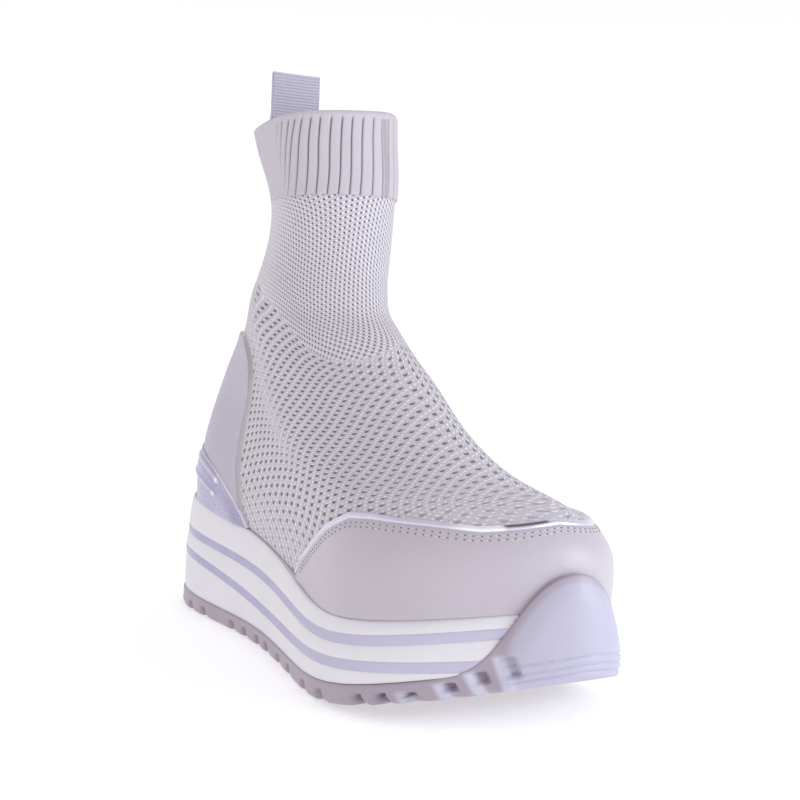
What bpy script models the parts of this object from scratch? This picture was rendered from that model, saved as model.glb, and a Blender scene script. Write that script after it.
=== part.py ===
# Knit ankle boot for a right foot: platform sole, one knitted upper, overlays at toe and heel.
# Shoe coordinates are millimetres: x runs from heel to toe, +y to the inner side, +z up.
# Turn is the angle round a section, from the back of the heel over the outer side to the toe.
# Level is the place up the upper, counted in the rows of its section table.

import bpy
import numpy as np

# Overall sizes
MM = 0.001
SOLE_BACK = -3.5
SOLE_FRONT = 282.0
GAP = 0.3
FULL_TURN = 2 * np.pi
SHARP_ANGLE = np.radians(35.0)
SMALL_TURN = 1e-4
SMALL_STEP = 1e-3
OUTLINE_SAMPLES = 4000

# Sole outline: half widths at fixed shares of its length, with the end radii
WIDTH_STATIONS = (0.0, 0.15, 0.42, 0.72, 0.92, 1.0)
WIDTH_NAMES = ("heel_round", "heel", "waist", "ball", "toe", "toe_round")
SOLE_WIDTHS = dict(heel_round=37.0, heel=36.8, waist=35.4, ball=50.9, toe=37.0, toe_round=26.0)

# Middle line of sole and upper, curved to the inner side at the toe
CENTRE_X = (0.0, 60.0, 120.0, 180.0, 240.0, 262.0, 282.0)
CENTRE_Y = (-1.5, -2.4, -3.7, -2.4, 0.8, 6.2, 12.5)

# Heights of the sole's lines along the shoe
SOLE_X = (0.0, 60.0, 120.0, 180.0, 230.0, 285.0)
PLATE_TOP = (10.0, 7.4, 6.9, 6.3, 10.2, 25.6)
LOWER_STRIPE = (28.9, 23.8, 17.2, 15.0, 17.3, 24.9)
UPPER_STRIPE = (38.7, 34.3, 29.7, 24.6, 26.1, 37.0)
MIDSOLE_TOP = (54.7, 49.1, 42.0, 32.1, 32.7, 41.4)

# Rocker of the tread: flat between heel bevel and toe spring
HEEL_BEVEL_X = 14.0
HEEL_BEVEL_RISE = 3.0
TOE_SPRING_X = 192.0
TOE_SPRING_RISE = 17.5

# Teeth of the tread's edge
TOOTH_PITCH = 15.0
TOOTH_FLAT = 8.8
TOOTH_SLOPE = 1.2
NOTCH_DEPTH = 4.6
NOTCH_INSET = 12.0
EDGE_ROUND = 1.0
BUMPER_COLUMN = 4.5
SMOOTH_TOE = 34.0

# Toe bumper: its upper edge by the distance along the outline from its crown
BUMPER_CROWN_Y = 14.5
BUMPER_REACH = (0.0, 8.0, 15.0, 22.0, 29.0, 37.0, 47.0, 62.0)
BUMPER_EDGE = (50.6, 49.6, 46.2, 40.2, 32.4, 24.8, 18.0, 4.0)
BUMPER_RISE = (0.0, 8.0, 16.0, 25.0)
BUMPER_OUTER = (0.3, 0.4, 0.7, 1.2)
BUMPER_INNER = (2.8, 2.8, 2.8, 2.9)
BUMPER_SHARES = (0.6, 1.0)
CUTTER_REACH = 12.0
CUTTER_TURNS = (112.0, 248.0)
CUTTER_COLUMNS = 41
CUTTER_ROWS = 4

# Midsole wall and the stripes let into it
MIDSOLE_COLUMNS = 60
MIDSOLE_SEAT_INSET = 1.8
SEAT_GAP = 0.5
LOWER_INSET = 1.0
UPPER_INSET = 2.0
RIM_INSET = 3.6
RIM_ROUND = 0.8
GROOVE_HALF = 2.2
GROOVE_DEPTH = 1.6
STRIPE_PROUD = 0.6
END_COLUMN = np.radians(1.0)
END_TURNS = (90.0, 180.0)
END_SAMPLES = 1801
LEAST_STEP = 0.15

# Upper: one row for each section, from the midsole's top to the collar
UPPER_COLUMNS = 48
WALL = 2.5
CUFF_LEVEL = 14.0
CUFF_STEP = 0.9
CUFF_EDGE = 0.06
UPPER_NAMES = ("back_x", "back_z", "front_x", "front_z", "side", "heel_round", "heel", "waist",
               "ball", "toe", "toe_round", "sag")
UPPER_ROWS = (
    (10.5, 0.0, 275.0, 0.0, 0.8, 31.0, 30.6, 31.4, 45.3, 36.8, 31.0, 1.00),
    (10.0, 61.0, 275.5, 48.0, 0.8, 31.0, 30.8, 31.8, 45.6, 37.2, 31.0, 0.90),
    (10.0, 71.0, 275.0, 57.0, 0.5, 30.5, 30.7, 32.0, 44.8, 36.8, 31.0, 0.70),
    (11.0, 81.0, 270.0, 65.0, 0.0, 29.0, 29.8, 31.8, 42.6, 33.8, 30.0, 0.50),
    (13.5, 91.0, 260.0, 71.5, 0.2, 27.0, 28.4, 31.2, 39.2, 29.6, 27.0, 0.35),
    (16.5, 100.0, 243.0, 77.0, 0.4, 25.0, 26.8, 30.4, 34.8, 24.0, 22.0, 0.20),
    (19.5, 109.0, 222.5, 85.0, 1.2, 23.5, 25.4, 29.8, 31.6, 20.8, 18.0, 0.10),
    (22.5, 118.0, 201.0, 96.0, 2.4, 22.5, 24.4, 29.6, 29.4, 19.2, 16.0, 0.05),
    (26.0, 127.0, 181.5, 108.0, 4.0, 21.5, 23.4, 29.2, 28.2, 18.6, 15.5, 0.00),
    (30.5, 137.0, 161.5, 121.0, 5.0, 20.5, 22.4, 29.0, 26.4, 17.0, 15.0, 0.00),
    (35.0, 147.0, 141.0, 136.0, 5.6, 20.0, 21.6, 28.6, 25.4, 16.0, 16.0, 0.00),
    (40.0, 158.0, 127.5, 151.0, 6.8, 19.5, 20.6, 28.0, 25.2, 15.4, 18.5, 0.00),
    (45.0, 170.0, 121.0, 166.0, 9.4, 18.5, 19.4, 27.4, 25.0, 15.2, 19.5, 0.00),
    (48.0, 182.5, 119.0, 182.0, 11.2, 18.5, 19.0, 27.2, 24.8, 15.0, 20.0, 0.00),
    (50.5, 195.0, 119.5, 196.0, 11.2, 21.0, 20.0, 27.5, 25.0, 15.2, 21.0, 0.00),
    (50.0, 206.0, 120.5, 208.0, 10.0, 24.0, 21.6, 28.4, 26.0, 15.6, 22.0, 0.00),
    (48.5, 216.5, 121.5, 220.0, 8.0, 27.0, 23.2, 29.6, 26.8, 16.2, 22.5, 0.00),
    (47.0, 227.0, 122.5, 231.5, 6.6, 29.0, 24.4, 30.5, 27.6, 16.6, 23.0, 0.00),
)
TOP_LEVEL = float(len(UPPER_ROWS) - 1)

# Overlays: upper edge of each panel by its turn from the middle of heel or toe, in degrees
PANEL_GAP = 0.6
PANEL_THICK = 1.3
PANEL_STEP = 5.0
TOE_CAP_TURN = (0.0, 12.0, 22.0, 34.0, 46.0, 53.0, 62.0, 71.0, 77.5, 80.5)
TOE_CAP_LEVEL = (3.36, 3.20, 3.13, 3.30, 3.38, 3.30, 2.70, 1.92, 1.17, 0.40)
TOE_CAP_ROWS = 6
TRIM_ROWS = 2
TRIM_HALF = 0.14
TRIM_SEAM = 0.03
COUNTER_LEVEL = (0.0, 1.4, 2.8, 4.0, 5.0, 6.2, 7.4, 8.2, 8.9)
COUNTER_TURN = (69.0, 66.5, 66.0, 66.6, 68.2, 71.8, 72.6, 67.0, 55.0)
COUNTER_ROWS = 12
COUNTER_CROWDING = 1.7
COUNTER_COLUMNS = 19
CLIP_GAP = 2.1
CLIP_THICK = 2.2
CLIP_RIDGE = 0.9
CLIP_RIDGES = 3
CLIP_TURN = (0.0, 20.0, 41.0, 53.0, 62.0, 67.5, 72.0)
CLIP_LEVEL = (3.05, 3.05, 2.97, 2.51, 1.82, 1.24, 0.27)

# Insole plate
INSOLE_THICK = 3.0
INSOLE_GAP = 0.6

# Pull loop: a webbing strip over the back of the collar
LOOP_WIDE = 27.0
LOOP_THICK = 1.2
LOOP_FOOT_Z = 204.0
LOOP_TOP_Z = 261.5
LOOP_GAP = 0.8
LOOP_CLOSED = 2.0
LOOP_CLOSING = 14.0
LOOP_COLUMNS = 4
LOOP_FOLD_STEPS = 4
LOOP_SPAN = 0.5
LOOP_SAMPLES = 201
LEVEL_SAMPLES = 40


def smooth(stations, values, where):
    """Natural cubic curve through a short table."""
    place = np.asarray(stations, float)
    value = np.asarray(values, float)
    count = len(place)
    step = np.diff(place)
    slope = np.diff(value) / step
    system = np.eye(count)
    right = np.zeros(count)
    for i in range(1, count - 1):
        system[i, i - 1] = step[i - 1]
        system[i, i] = 2 * (step[i - 1] + step[i])
        system[i, i + 1] = step[i]
        right[i] = 6 * (slope[i] - slope[i - 1])
    bend = np.linalg.solve(system, right)
    at = np.clip(np.asarray(where, float), place[0], place[-1])
    left = np.clip(np.searchsorted(place, at) - 1, 0, count - 2)
    gone = at - place[left]
    first = slope[left] - step[left] * (2 * bend[left] + bend[left + 1]) / 6
    cubic = (bend[left + 1] - bend[left]) / (6 * step[left])
    return value[left] + first * gone + bend[left] / 2 * gone ** 2 + cubic * gone ** 3


def width_shares(along):
    """Weight of each width column at a share of the section's length."""
    return np.stack([smooth(WIDTH_STATIONS, unit, along) for unit in np.eye(len(WIDTH_STATIONS))], axis=-1)


def section_plan(turn, back, front, widths):
    """Plan view of a section: x, and the half width reached at each turn."""
    along = (1 - np.cos(turn)) / 2
    half_length = (front - back) / 2
    x = back + (front - back) * along
    reach = np.array(widths, float)
    for i, station in enumerate(WIDTH_STATIONS[1:-1], start=1):
        reach[..., i] = reach[..., i] / (2 * np.sqrt(station * (1 - station)))
    reach[..., 0] = np.sqrt(reach[..., 0] * half_length)
    reach[..., -1] = np.sqrt(reach[..., -1] * half_length)
    return x, np.sin(turn) * np.sum(width_shares(along) * reach, axis=-1)


def centre_line(x):
    return smooth(CENTRE_X, CENTRE_Y, x)


def sole_line(heights, x):
    return smooth(SOLE_X, heights, x)


def tread_bottom(x):
    """Underside of the tread, with the heel bevel and the toe spring."""
    heel = HEEL_BEVEL_RISE * (np.clip(HEEL_BEVEL_X - x, 0, None) / (HEEL_BEVEL_X - SOLE_BACK)) ** 2
    toe = TOE_SPRING_RISE * (np.clip(x - TOE_SPRING_X, 0, None) / (SOLE_FRONT - TOE_SPRING_X)) ** 2
    return heel + toe


def sole_outline(turn):
    """Widest outline of the sole."""
    turn = np.asarray(turn, float)
    widths = np.broadcast_to([SOLE_WIDTHS[name] for name in WIDTH_NAMES], turn.shape + (len(WIDTH_NAMES),))
    x, side = section_plan(turn, SOLE_BACK, SOLE_FRONT, widths)
    return np.stack([x, centre_line(x) - side], axis=-1)


def sole_ring(turn, inset):
    """Outline moved inwards by an inset."""
    ahead = sole_outline(turn + SMALL_TURN) - sole_outline(turn - SMALL_TURN)
    ahead = ahead / np.linalg.norm(ahead, axis=-1, keepdims=True)
    inward = np.stack([-ahead[..., 1], ahead[..., 0]], axis=-1)
    return sole_outline(turn) + inward * np.broadcast_to(inset, np.shape(turn))[..., None]


def outline_lengths():
    """Length along the outline from the heel's back, at evenly spaced turns."""
    turn = np.linspace(0, FULL_TURN, OUTLINE_SAMPLES + 1)
    steps = np.linalg.norm(np.diff(sole_outline(turn), axis=0), axis=1)
    return turn, np.concatenate([[0.0], np.cumsum(steps)])


def bumper_distance(turn):
    """Distance along the outline from the bumper's crown."""
    turns, lengths = outline_lengths()
    points = sole_outline(turns)
    front = np.where(points[:, 0] > CENTRE_X[-2], np.abs(points[:, 1] - BUMPER_CROWN_Y), np.inf)
    crown = lengths[np.argmin(front)]
    return np.abs(np.interp(np.mod(turn, FULL_TURN), turns, lengths) - crown)


def bumper_edge(turn):
    """Height of the bumper's upper edge, never below the plate's top."""
    x = sole_outline(turn)[..., 0]
    edge = smooth(BUMPER_REACH, BUMPER_EDGE, bumper_distance(turn))
    return np.maximum(edge, sole_line(PLATE_TOP, x))


def ring_points(turn, inset, height):
    """Sole points at an inset, with the height as a function of x."""
    plan = sole_ring(turn, inset)
    z = height(plan[..., 0]) if callable(height) else height
    return np.concatenate([plan, np.broadcast_to(z, np.shape(turn))[..., None]], axis=-1)


def upper_column(name, level):
    """Column of the upper's section table, read at any level."""
    values = [row[UPPER_NAMES.index(name)] for row in UPPER_ROWS]
    if name.endswith("_z"):
        foot_x = UPPER_ROWS[0][UPPER_NAMES.index(name.replace("_z", "_x"))]
        values[0] = float(sole_line(MIDSOLE_TOP, foot_x)) + GAP
    return smooth(range(len(UPPER_ROWS)), values, level)


def upper_point(turn, level):
    """Outer face of the knitted upper."""
    turn, level = np.broadcast_arrays(np.asarray(turn, float), np.asarray(level, float))
    back = upper_column("back_x", level)
    front = upper_column("front_x", level)
    widths = np.stack([upper_column(name, level) for name in WIDTH_NAMES], axis=-1)
    x, side = section_plan(turn, back, front, widths)
    y = centre_line(x) + upper_column("side", level) - side
    along = (1 - np.cos(turn)) / 2
    chord = upper_column("back_z", level) * (1 - along) + upper_column("front_z", level) * along
    ends = sole_line(MIDSOLE_TOP, back) * (1 - along) + sole_line(MIDSOLE_TOP, front) * along
    z = chord + upper_column("sag", level) * (sole_line(MIDSOLE_TOP, x) - ends)
    return np.stack([x, y, z], axis=-1)


def upper_offset(turn, level, distance):
    """Point off the upper's outer face; the lowest row stays level with the midsole's top."""
    turn, level = np.broadcast_arrays(np.asarray(turn, float), np.asarray(level, float))
    above = np.minimum(level + SMALL_STEP, TOP_LEVEL)
    below = np.maximum(level - SMALL_STEP, 0)
    around = upper_point(turn + SMALL_STEP, level) - upper_point(turn - SMALL_STEP, level)
    upward = upper_point(turn, above) - upper_point(turn, below)
    normal = np.cross(around, upward)
    normal[..., 2] *= np.clip(level, 0, 1)
    normal = normal / np.linalg.norm(normal, axis=-1, keepdims=True)
    base = upper_point(turn, level)
    point = base + normal * np.broadcast_to(distance, turn.shape)[..., None]
    settle = sole_line(MIDSOLE_TOP, point[..., 0]) - sole_line(MIDSOLE_TOP, base[..., 0])
    point[..., 2] += settle * (1 - np.clip(level, 0, 1))
    return point


def strip_faces(rows, columns, closed_columns, closed_rows=False):
    """Quads between neighbouring rows of a grid of points."""
    faces = []
    for r in range(rows if closed_rows else rows - 1):
        below = r * columns
        above = (r + 1) % rows * columns
        for c in range(columns if closed_columns else columns - 1):
            d = (c + 1) % columns
            faces.append((below + c, below + d, above + d, above + c))
    return faces


def ladder_faces(first, columns, upward):
    """Cap of a ring: rungs between each outer-side point and the inner-side point across from it."""
    half = columns // 2
    faces = []
    for c in range(half):
        ring = [c, c + 1, columns - c - 1, (columns - c) % columns]
        corners = [first + i for i in dict.fromkeys(ring)]
        faces.append(corners if upward else corners[::-1])
    return faces


def stacked_solid(loops):
    """Closed solid of rings stacked from its underside to its top."""
    rings = np.stack(loops)
    rows, columns = rings.shape[:2]
    faces = strip_faces(rows, columns, closed_columns=True)
    faces += ladder_faces(0, columns, upward=False)
    faces += ladder_faces((rows - 1) * columns, columns, upward=True)
    return rings.reshape(-1, 3), faces


def slab_solid(outer, inner):
    """Closed solid between two grids of the same shape."""
    rows, columns = outer.shape[:2]
    count = rows * columns
    faces = strip_faces(rows, columns, closed_columns=False)
    faces += [tuple(i + count for i in face[::-1]) for face in faces]
    border = list(range(columns))
    border += [r * columns + columns - 1 for r in range(1, rows)]
    border += [(rows - 1) * columns + c for c in range(columns - 2, -1, -1)]
    border += [r * columns for r in range(rows - 2, 0, -1)]
    for here, there in zip(border, border[1:] + border[:1]):
        faces.append((there, here, here + count, there + count))
    return np.concatenate([outer.reshape(-1, 3), inner.reshape(-1, 3)]), faces


def principled(name, colour, roughness, metallic=0.0):
    material = bpy.data.materials.new(name)
    material.use_nodes = True
    shader = material.node_tree.nodes["Principled BSDF"]
    shader.inputs["Base Color"].default_value = (*colour, 1.0)
    shader.inputs["Roughness"].default_value = roughness
    shader.inputs["Metallic"].default_value = metallic
    return material


def add_object(name, points, faces, material):
    """Mesh object with its points moved from shoe coordinates to the part's frame, in metres."""
    outline_y = sole_outline(np.linspace(0, FULL_TURN, OUTLINE_SAMPLES))[:, 1]
    origin = np.array([(SOLE_BACK + SOLE_FRONT) / 2, (outline_y.min() + outline_y.max()) / 2, 0.0])
    mesh = bpy.data.meshes.new(name)
    mesh.from_pydata([tuple(p) for p in (points - origin) * MM], [], faces)
    mesh.materials.append(material)
    mesh.shade_smooth()
    mesh.set_sharp_from_angle(angle=SHARP_ANGLE)
    thing = bpy.data.objects.new(name, mesh)
    bpy.context.collection.objects.link(thing)
    return thing


def tread_columns():
    """Turns of the tread's columns on the outer half, and how deep each lies in a notch."""
    turns, lengths = outline_lengths()
    half = lengths[len(lengths) // 2]
    bumper_start = half - SMOOTH_TOE
    places = []
    depths = []
    tooth = 0.0
    while tooth + TOOTH_PITCH < bumper_start:
        next_tooth = tooth + TOOTH_PITCH
        notch_half = TOOTH_FLAT / 2 + TOOTH_SLOPE
        places += [tooth - TOOTH_FLAT / 2, tooth + TOOTH_FLAT / 2]
        places += [tooth + notch_half, next_tooth - notch_half]
        depths += [0.0, 0.0, 1.0, 1.0]
        tooth = next_tooth
    places[0] = 0.0
    smooth_places = np.arange(tooth - TOOTH_FLAT / 2, half - BUMPER_COLUMN / 2, BUMPER_COLUMN)
    places = np.concatenate([places, smooth_places, [half]])
    depths = np.concatenate([depths, np.zeros(len(smooth_places) + 1)])
    return np.interp(places, lengths, turns), depths


def make_outsole():
    half_turns, half_depths = tread_columns()
    turn = np.concatenate([half_turns, FULL_TURN - half_turns[-2:0:-1]])
    notch = np.concatenate([half_depths, half_depths[-2:0:-1]]) * NOTCH_DEPTH
    x = sole_outline(turn)[:, 0]
    plate = sole_line(PLATE_TOP, x)
    edge = bumper_edge(turn)
    low = tread_bottom(x) + EDGE_ROUND + notch
    loops = [
        ring_points(turn, NOTCH_INSET, tread_bottom),
        ring_points(turn, NOTCH_INSET - NOTCH_DEPTH / 2, lambda px: tread_bottom(px) + notch),
        ring_points(turn, EDGE_ROUND, lambda px: tread_bottom(px) + notch),
        ring_points(turn, 0.0, low),
    ]
    for share in BUMPER_SHARES:
        rise = (edge - plate) * share
        height = np.maximum(plate + rise, low + LEAST_STEP) - EDGE_ROUND * (1 - share)
        loops.append(ring_points(turn, smooth(BUMPER_RISE, BUMPER_OUTER, rise), height))
    for step, share in enumerate((1.0, 0.0)):
        rise = (edge - plate) * share
        spread = np.clip(1 - (edge - plate) / EDGE_ROUND, 0, 1) * EDGE_ROUND
        inset = smooth(BUMPER_RISE, BUMPER_INNER, rise) + step * spread
        loops.append(ring_points(turn, inset, lambda px: sole_line(PLATE_TOP, px) + rise))
    points, faces = stacked_solid(loops)
    return add_object("outsole", points, faces, principled("rubber", (0.36, 0.30, 0.37), 0.55))


def make_bumper_cutter():
    """Space taken by the toe bumper, grown by the gap."""
    turn = np.radians(np.linspace(*CUTTER_TURNS, CUTTER_COLUMNS))
    x = sole_outline(turn)[:, 0]
    plate = sole_line(PLATE_TOP, x)
    edge = bumper_edge(turn) + 2 * GAP
    inner = []
    outer = []
    for share in np.linspace(0.0, 1.0, CUTTER_ROWS):
        height = plate - EDGE_ROUND + (edge - plate + EDGE_ROUND) * share
        inset = smooth(BUMPER_RISE, BUMPER_INNER, height - plate) + 2 * GAP
        inner.append(ring_points(turn, inset, height))
        outer.append(ring_points(turn, -CUTTER_REACH, height))
    points, faces = slab_solid(np.stack(outer), np.stack(inner))
    cutter = add_object("bumper_space", points, faces, principled("cutter", (0.5, 0.5, 0.5), 0.5))
    cutter.hide_render = True
    cutter.display_type = "WIRE"
    return cutter


def midsole_turns():
    return np.linspace(0, FULL_TURN, MIDSOLE_COLUMNS, endpoint=False)


def make_midsole(cutter):
    turn = midsole_turns()
    x = sole_outline(turn)[:, 0]
    seat = sole_line(PLATE_TOP, x) + SEAT_GAP
    lower = sole_line(LOWER_STRIPE, x)
    upper = sole_line(UPPER_STRIPE, x)
    top = sole_line(MIDSOLE_TOP, x)
    rows = [
        (LOWER_INSET, seat + EDGE_ROUND / 2),
        (LOWER_INSET, lower - GROOVE_HALF),
        (LOWER_INSET + GROOVE_DEPTH, lower - GROOVE_HALF),
        (LOWER_INSET + GROOVE_DEPTH, lower + GROOVE_HALF),
        (LOWER_INSET, lower + GROOVE_HALF),
        (UPPER_INSET, upper - GROOVE_HALF),
        (UPPER_INSET + GROOVE_DEPTH, upper - GROOVE_HALF),
        (UPPER_INSET + GROOVE_DEPTH, upper + GROOVE_HALF),
        (UPPER_INSET, upper + GROOVE_HALF),
        (RIM_INSET, top - RIM_ROUND),
    ]
    loops = [ring_points(turn, MIDSOLE_SEAT_INSET, lambda px: sole_line(PLATE_TOP, px) + SEAT_GAP)]
    floor = seat
    for inset, height in rows:
        floor = np.maximum(height, floor + LEAST_STEP)
        loops.append(ring_points(turn, inset, floor))
    loops.append(ring_points(turn, RIM_INSET + RIM_ROUND, lambda px: sole_line(MIDSOLE_TOP, px)))
    points, faces = stacked_solid(loops)
    midsole = add_object("midsole", points, faces, principled("foam", (0.80, 0.79, 0.84), 0.6))
    cut = midsole.modifiers.new("bumper_seat", "BOOLEAN")
    cut.operation = "DIFFERENCE"
    cut.solver = "EXACT"
    cut.object = cutter
    return midsole


def stripe_end(heights, side):
    """Turn where a stripe's lower edge meets the bumper, on the outer side (+1) or the inner side (-1)."""
    turn = side * np.radians(np.linspace(*END_TURNS, END_SAMPLES))
    x = sole_outline(turn)[:, 0]
    line = sole_line(heights, x) - GROOVE_HALF + GAP
    clear = np.maximum(bumper_edge(turn), sole_line(PLATE_TOP, x) + EDGE_ROUND) + 3 * GAP < line
    return turn[np.argmin(clear)]


def make_stripe(name, heights, inset):
    """Band let into a groove, from the bumper round the heel to the bumper again."""
    columns = midsole_turns()
    columns = np.sort(np.where(columns > FULL_TURN / 2, columns - FULL_TURN, columns))
    half = GROOVE_HALF - GAP
    first = stripe_end(heights, -1)
    last = stripe_end(heights, 1)
    inside = columns[(columns > first + END_COLUMN) & (columns < last - END_COLUMN)]
    turn = np.concatenate([[first], inside, [last]])
    middle = sole_line(heights, sole_outline(turn)[:, 0])
    outer = []
    inner = []
    for row in (-half, half):
        outer.append(ring_points(turn, inset - STRIPE_PROUD, middle + row))
        inner.append(ring_points(turn, inset + GROOVE_DEPTH - GAP, middle + row))
    points, faces = slab_solid(np.stack(outer), np.stack(inner))
    return add_object(name, points, faces, principled(name, (0.46, 0.43, 0.60), 0.35, 0.6))


def make_insole():
    turn = np.linspace(0, FULL_TURN, UPPER_COLUMNS, endpoint=False)
    foot = upper_offset(turn, 0.0, -WALL - INSOLE_GAP)
    low = foot.copy()
    high = foot.copy()
    high[:, 2] += INSOLE_THICK
    points, faces = stacked_solid([low, high])
    return add_object("insole", points, faces, principled("footbed", (0.55, 0.53, 0.58), 0.8))


def make_upper():
    turn = np.linspace(0, FULL_TURN, UPPER_COLUMNS, endpoint=False)
    levels = [float(level) for level in range(len(UPPER_ROWS)) if level != CUFF_LEVEL]
    levels += [CUFF_LEVEL - CUFF_EDGE, CUFF_LEVEL + CUFF_EDGE]
    levels.sort()
    outer = []
    inner = []
    for level in levels:
        step = CUFF_STEP if level > CUFF_LEVEL else 0.0
        outer.append(upper_offset(turn, level, step))
        inner.append(upper_offset(turn, level, -WALL))
    rings = np.stack(outer + inner[::-1])
    rows, columns = rings.shape[:2]
    faces = strip_faces(rows, columns, closed_columns=True, closed_rows=True)
    return add_object("upper", rings.reshape(-1, 3), faces, principled("knit", (0.61, 0.58, 0.64), 0.9))


def panel_edge(away, turns, levels):
    """Level of a panel's upper edge at a turn away from its middle line."""
    return np.interp(np.abs(away), np.radians(turns), levels)


def panel_turns(reach):
    """Even columns of a panel, as turns away from its middle line."""
    count = int(np.ceil(2 * reach / PANEL_STEP)) | 1
    return np.radians(np.linspace(-reach, reach, count))


def make_panel(name, turn, levels, heights, material):
    """Slab on the upper over a grid of levels; heights gives inner and outer offsets by row."""
    rows = len(levels)
    outer = []
    inner = []
    for row, level in enumerate(levels):
        inside, outside = heights(row / (rows - 1))
        line = turn[row] if np.ndim(turn) == 2 else turn
        outer.append(upper_offset(line, level, outside))
        inner.append(upper_offset(line, level, inside))
    points, faces = slab_solid(np.stack(outer), np.stack(inner))
    return add_object(name, points, faces, material)


def rows_between(bottom, top, rows):
    """Levels of evenly spread rows between two edges."""
    return [bottom + (top - bottom) * share for share in np.linspace(0.0, 1.0, rows)]


def even_thickness(share):
    return PANEL_GAP, PANEL_GAP + PANEL_THICK


def make_toe_cap():
    away = panel_turns(TOE_CAP_TURN[-1])
    top = panel_edge(away, TOE_CAP_TURN, TOE_CAP_LEVEL) - TRIM_HALF - TRIM_SEAM
    leather = principled("toe_leather", (0.60, 0.57, 0.62), 0.45)
    levels = rows_between(np.zeros_like(away), top, TOE_CAP_ROWS)
    return make_panel("toe_cap", FULL_TURN / 2 + away, levels, even_thickness, leather)


def make_toe_trim():
    away = panel_turns(TOE_CAP_TURN[-1])
    line = panel_edge(away, TOE_CAP_TURN, TOE_CAP_LEVEL)
    foil = principled("trim_foil", (0.62, 0.60, 0.72), 0.25, 0.8)
    levels = rows_between(line - TRIM_HALF, line + TRIM_HALF, TRIM_ROWS)
    return make_panel("toe_trim", FULL_TURN / 2 + away, levels, even_thickness, foil)


def make_heel_counter():
    levels = COUNTER_LEVEL[-1] * (1 - (1 - np.linspace(0.0, 1.0, COUNTER_ROWS)) ** COUNTER_CROWDING)
    reach = np.radians(smooth(COUNTER_LEVEL, COUNTER_TURN, levels))
    turn = reach[:, None] * np.linspace(-1.0, 1.0, COUNTER_COLUMNS)
    leather = principled("heel_leather", (0.47, 0.44, 0.53), 0.45)
    return make_panel("heel_counter", turn, list(levels), even_thickness, leather)


def make_heel_clip():
    def heights(share):
        ridge = CLIP_RIDGE * np.sin(np.pi * CLIP_RIDGES * share) ** 2
        return CLIP_GAP, CLIP_GAP + CLIP_THICK - CLIP_RIDGE + ridge
    away = panel_turns(CLIP_TURN[-1])
    top = panel_edge(away, CLIP_TURN, CLIP_LEVEL)
    levels = rows_between(np.zeros_like(away), top, 2 * CLIP_RIDGES + 1)
    plastic = principled("clip_plastic", (0.46, 0.43, 0.60), 0.3, 0.5)
    return make_panel("heel_clip", away, levels, heights, plastic)


def loop_path():
    """Middle of the webbing seen from the side: distance off the upper's face, and height."""
    outside = CUFF_STEP + LOOP_GAP + LOOP_THICK / 2
    inside = -WALL - LOOP_GAP - LOOP_THICK / 2
    middle = (outside + inside) / 2
    collar = upper_column("back_z", TOP_LEVEL)
    radius = LOOP_CLOSED / 2
    top = LOOP_TOP_Z - LOOP_THICK / 2 - radius
    heights = [LOOP_FOOT_Z, (LOOP_FOOT_Z + collar) / 2, collar + GAP, collar + LOOP_CLOSING / 2,
               collar + LOOP_CLOSING, top]
    closing = np.clip((np.array(heights) - collar - GAP) / LOOP_CLOSING, 0, 1)
    half_gap = (outside - middle) * (1 - closing) + radius * closing
    path = [(middle + half, z) for half, z in zip(half_gap, heights)]
    for angle in np.linspace(0, np.pi, LOOP_FOLD_STEPS + 1)[1:-1]:
        path.append((middle + radius * np.cos(angle), top + radius * np.sin(angle)))
    path += [(middle - half, z) for half, z in zip(half_gap[::-1], heights[::-1])]
    return np.array(path)


def loop_point(turn, distance, height):
    """Point at a distance off the upper's back, upright above the collar."""
    levels = np.linspace(CUFF_LEVEL, TOP_LEVEL, LEVEL_SAMPLES)
    heights = upper_column("back_z", levels)
    level = np.interp(height, heights, levels)
    point = upper_offset(turn, level, distance)
    point[..., 2] = height
    return point


def make_pull_loop():
    path = loop_path()
    ahead = np.gradient(path, axis=0)
    ahead = ahead / np.linalg.norm(ahead, axis=1, keepdims=True)
    across = np.stack([ahead[:, 1], -ahead[:, 0]], axis=1)
    back = np.linspace(-LOOP_SPAN, LOOP_SPAN, LOOP_SAMPLES)
    around = upper_point(back, TOP_LEVEL)
    lengths = np.concatenate([[0.0], np.cumsum(np.linalg.norm(np.diff(around, axis=0), axis=1))])
    lengths = lengths - lengths[len(lengths) // 2]
    turn = np.interp(np.linspace(-LOOP_WIDE / 2, LOOP_WIDE / 2, LOOP_COLUMNS), lengths, back)
    sheets = []
    for side in (0.5, -0.5):
        line = path + across * LOOP_THICK * side
        sheets.append(np.stack([loop_point(turn, distance, np.full_like(turn, z)) for distance, z in line]))
    points, faces = slab_solid(sheets[0], sheets[1])
    return add_object("pull_loop", points, faces, principled("webbing", (0.52, 0.50, 0.64), 0.8))


def make_boot():
    for thing in list(bpy.data.objects):
        bpy.data.objects.remove(thing, do_unlink=True)
    make_outsole()
    make_midsole(make_bumper_cutter())
    make_stripe("stripe_lower", LOWER_STRIPE, LOWER_INSET)
    make_stripe("stripe_upper", UPPER_STRIPE, UPPER_INSET)
    make_insole()
    make_upper()
    make_toe_cap()
    make_toe_trim()
    make_heel_counter()
    make_heel_clip()
    make_pull_loop()


make_boot()
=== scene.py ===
# Looks of a knit ankle boot for a right foot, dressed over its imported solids.
# Shoe coordinates are millimetres: x runs from heel to toe, +y to the inner side, +z up.
# Turn is the angle round a section, from the back of the heel over the outer side to the toe.
# Level is the place up the upper, counted in the rows of its section table.

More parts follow.
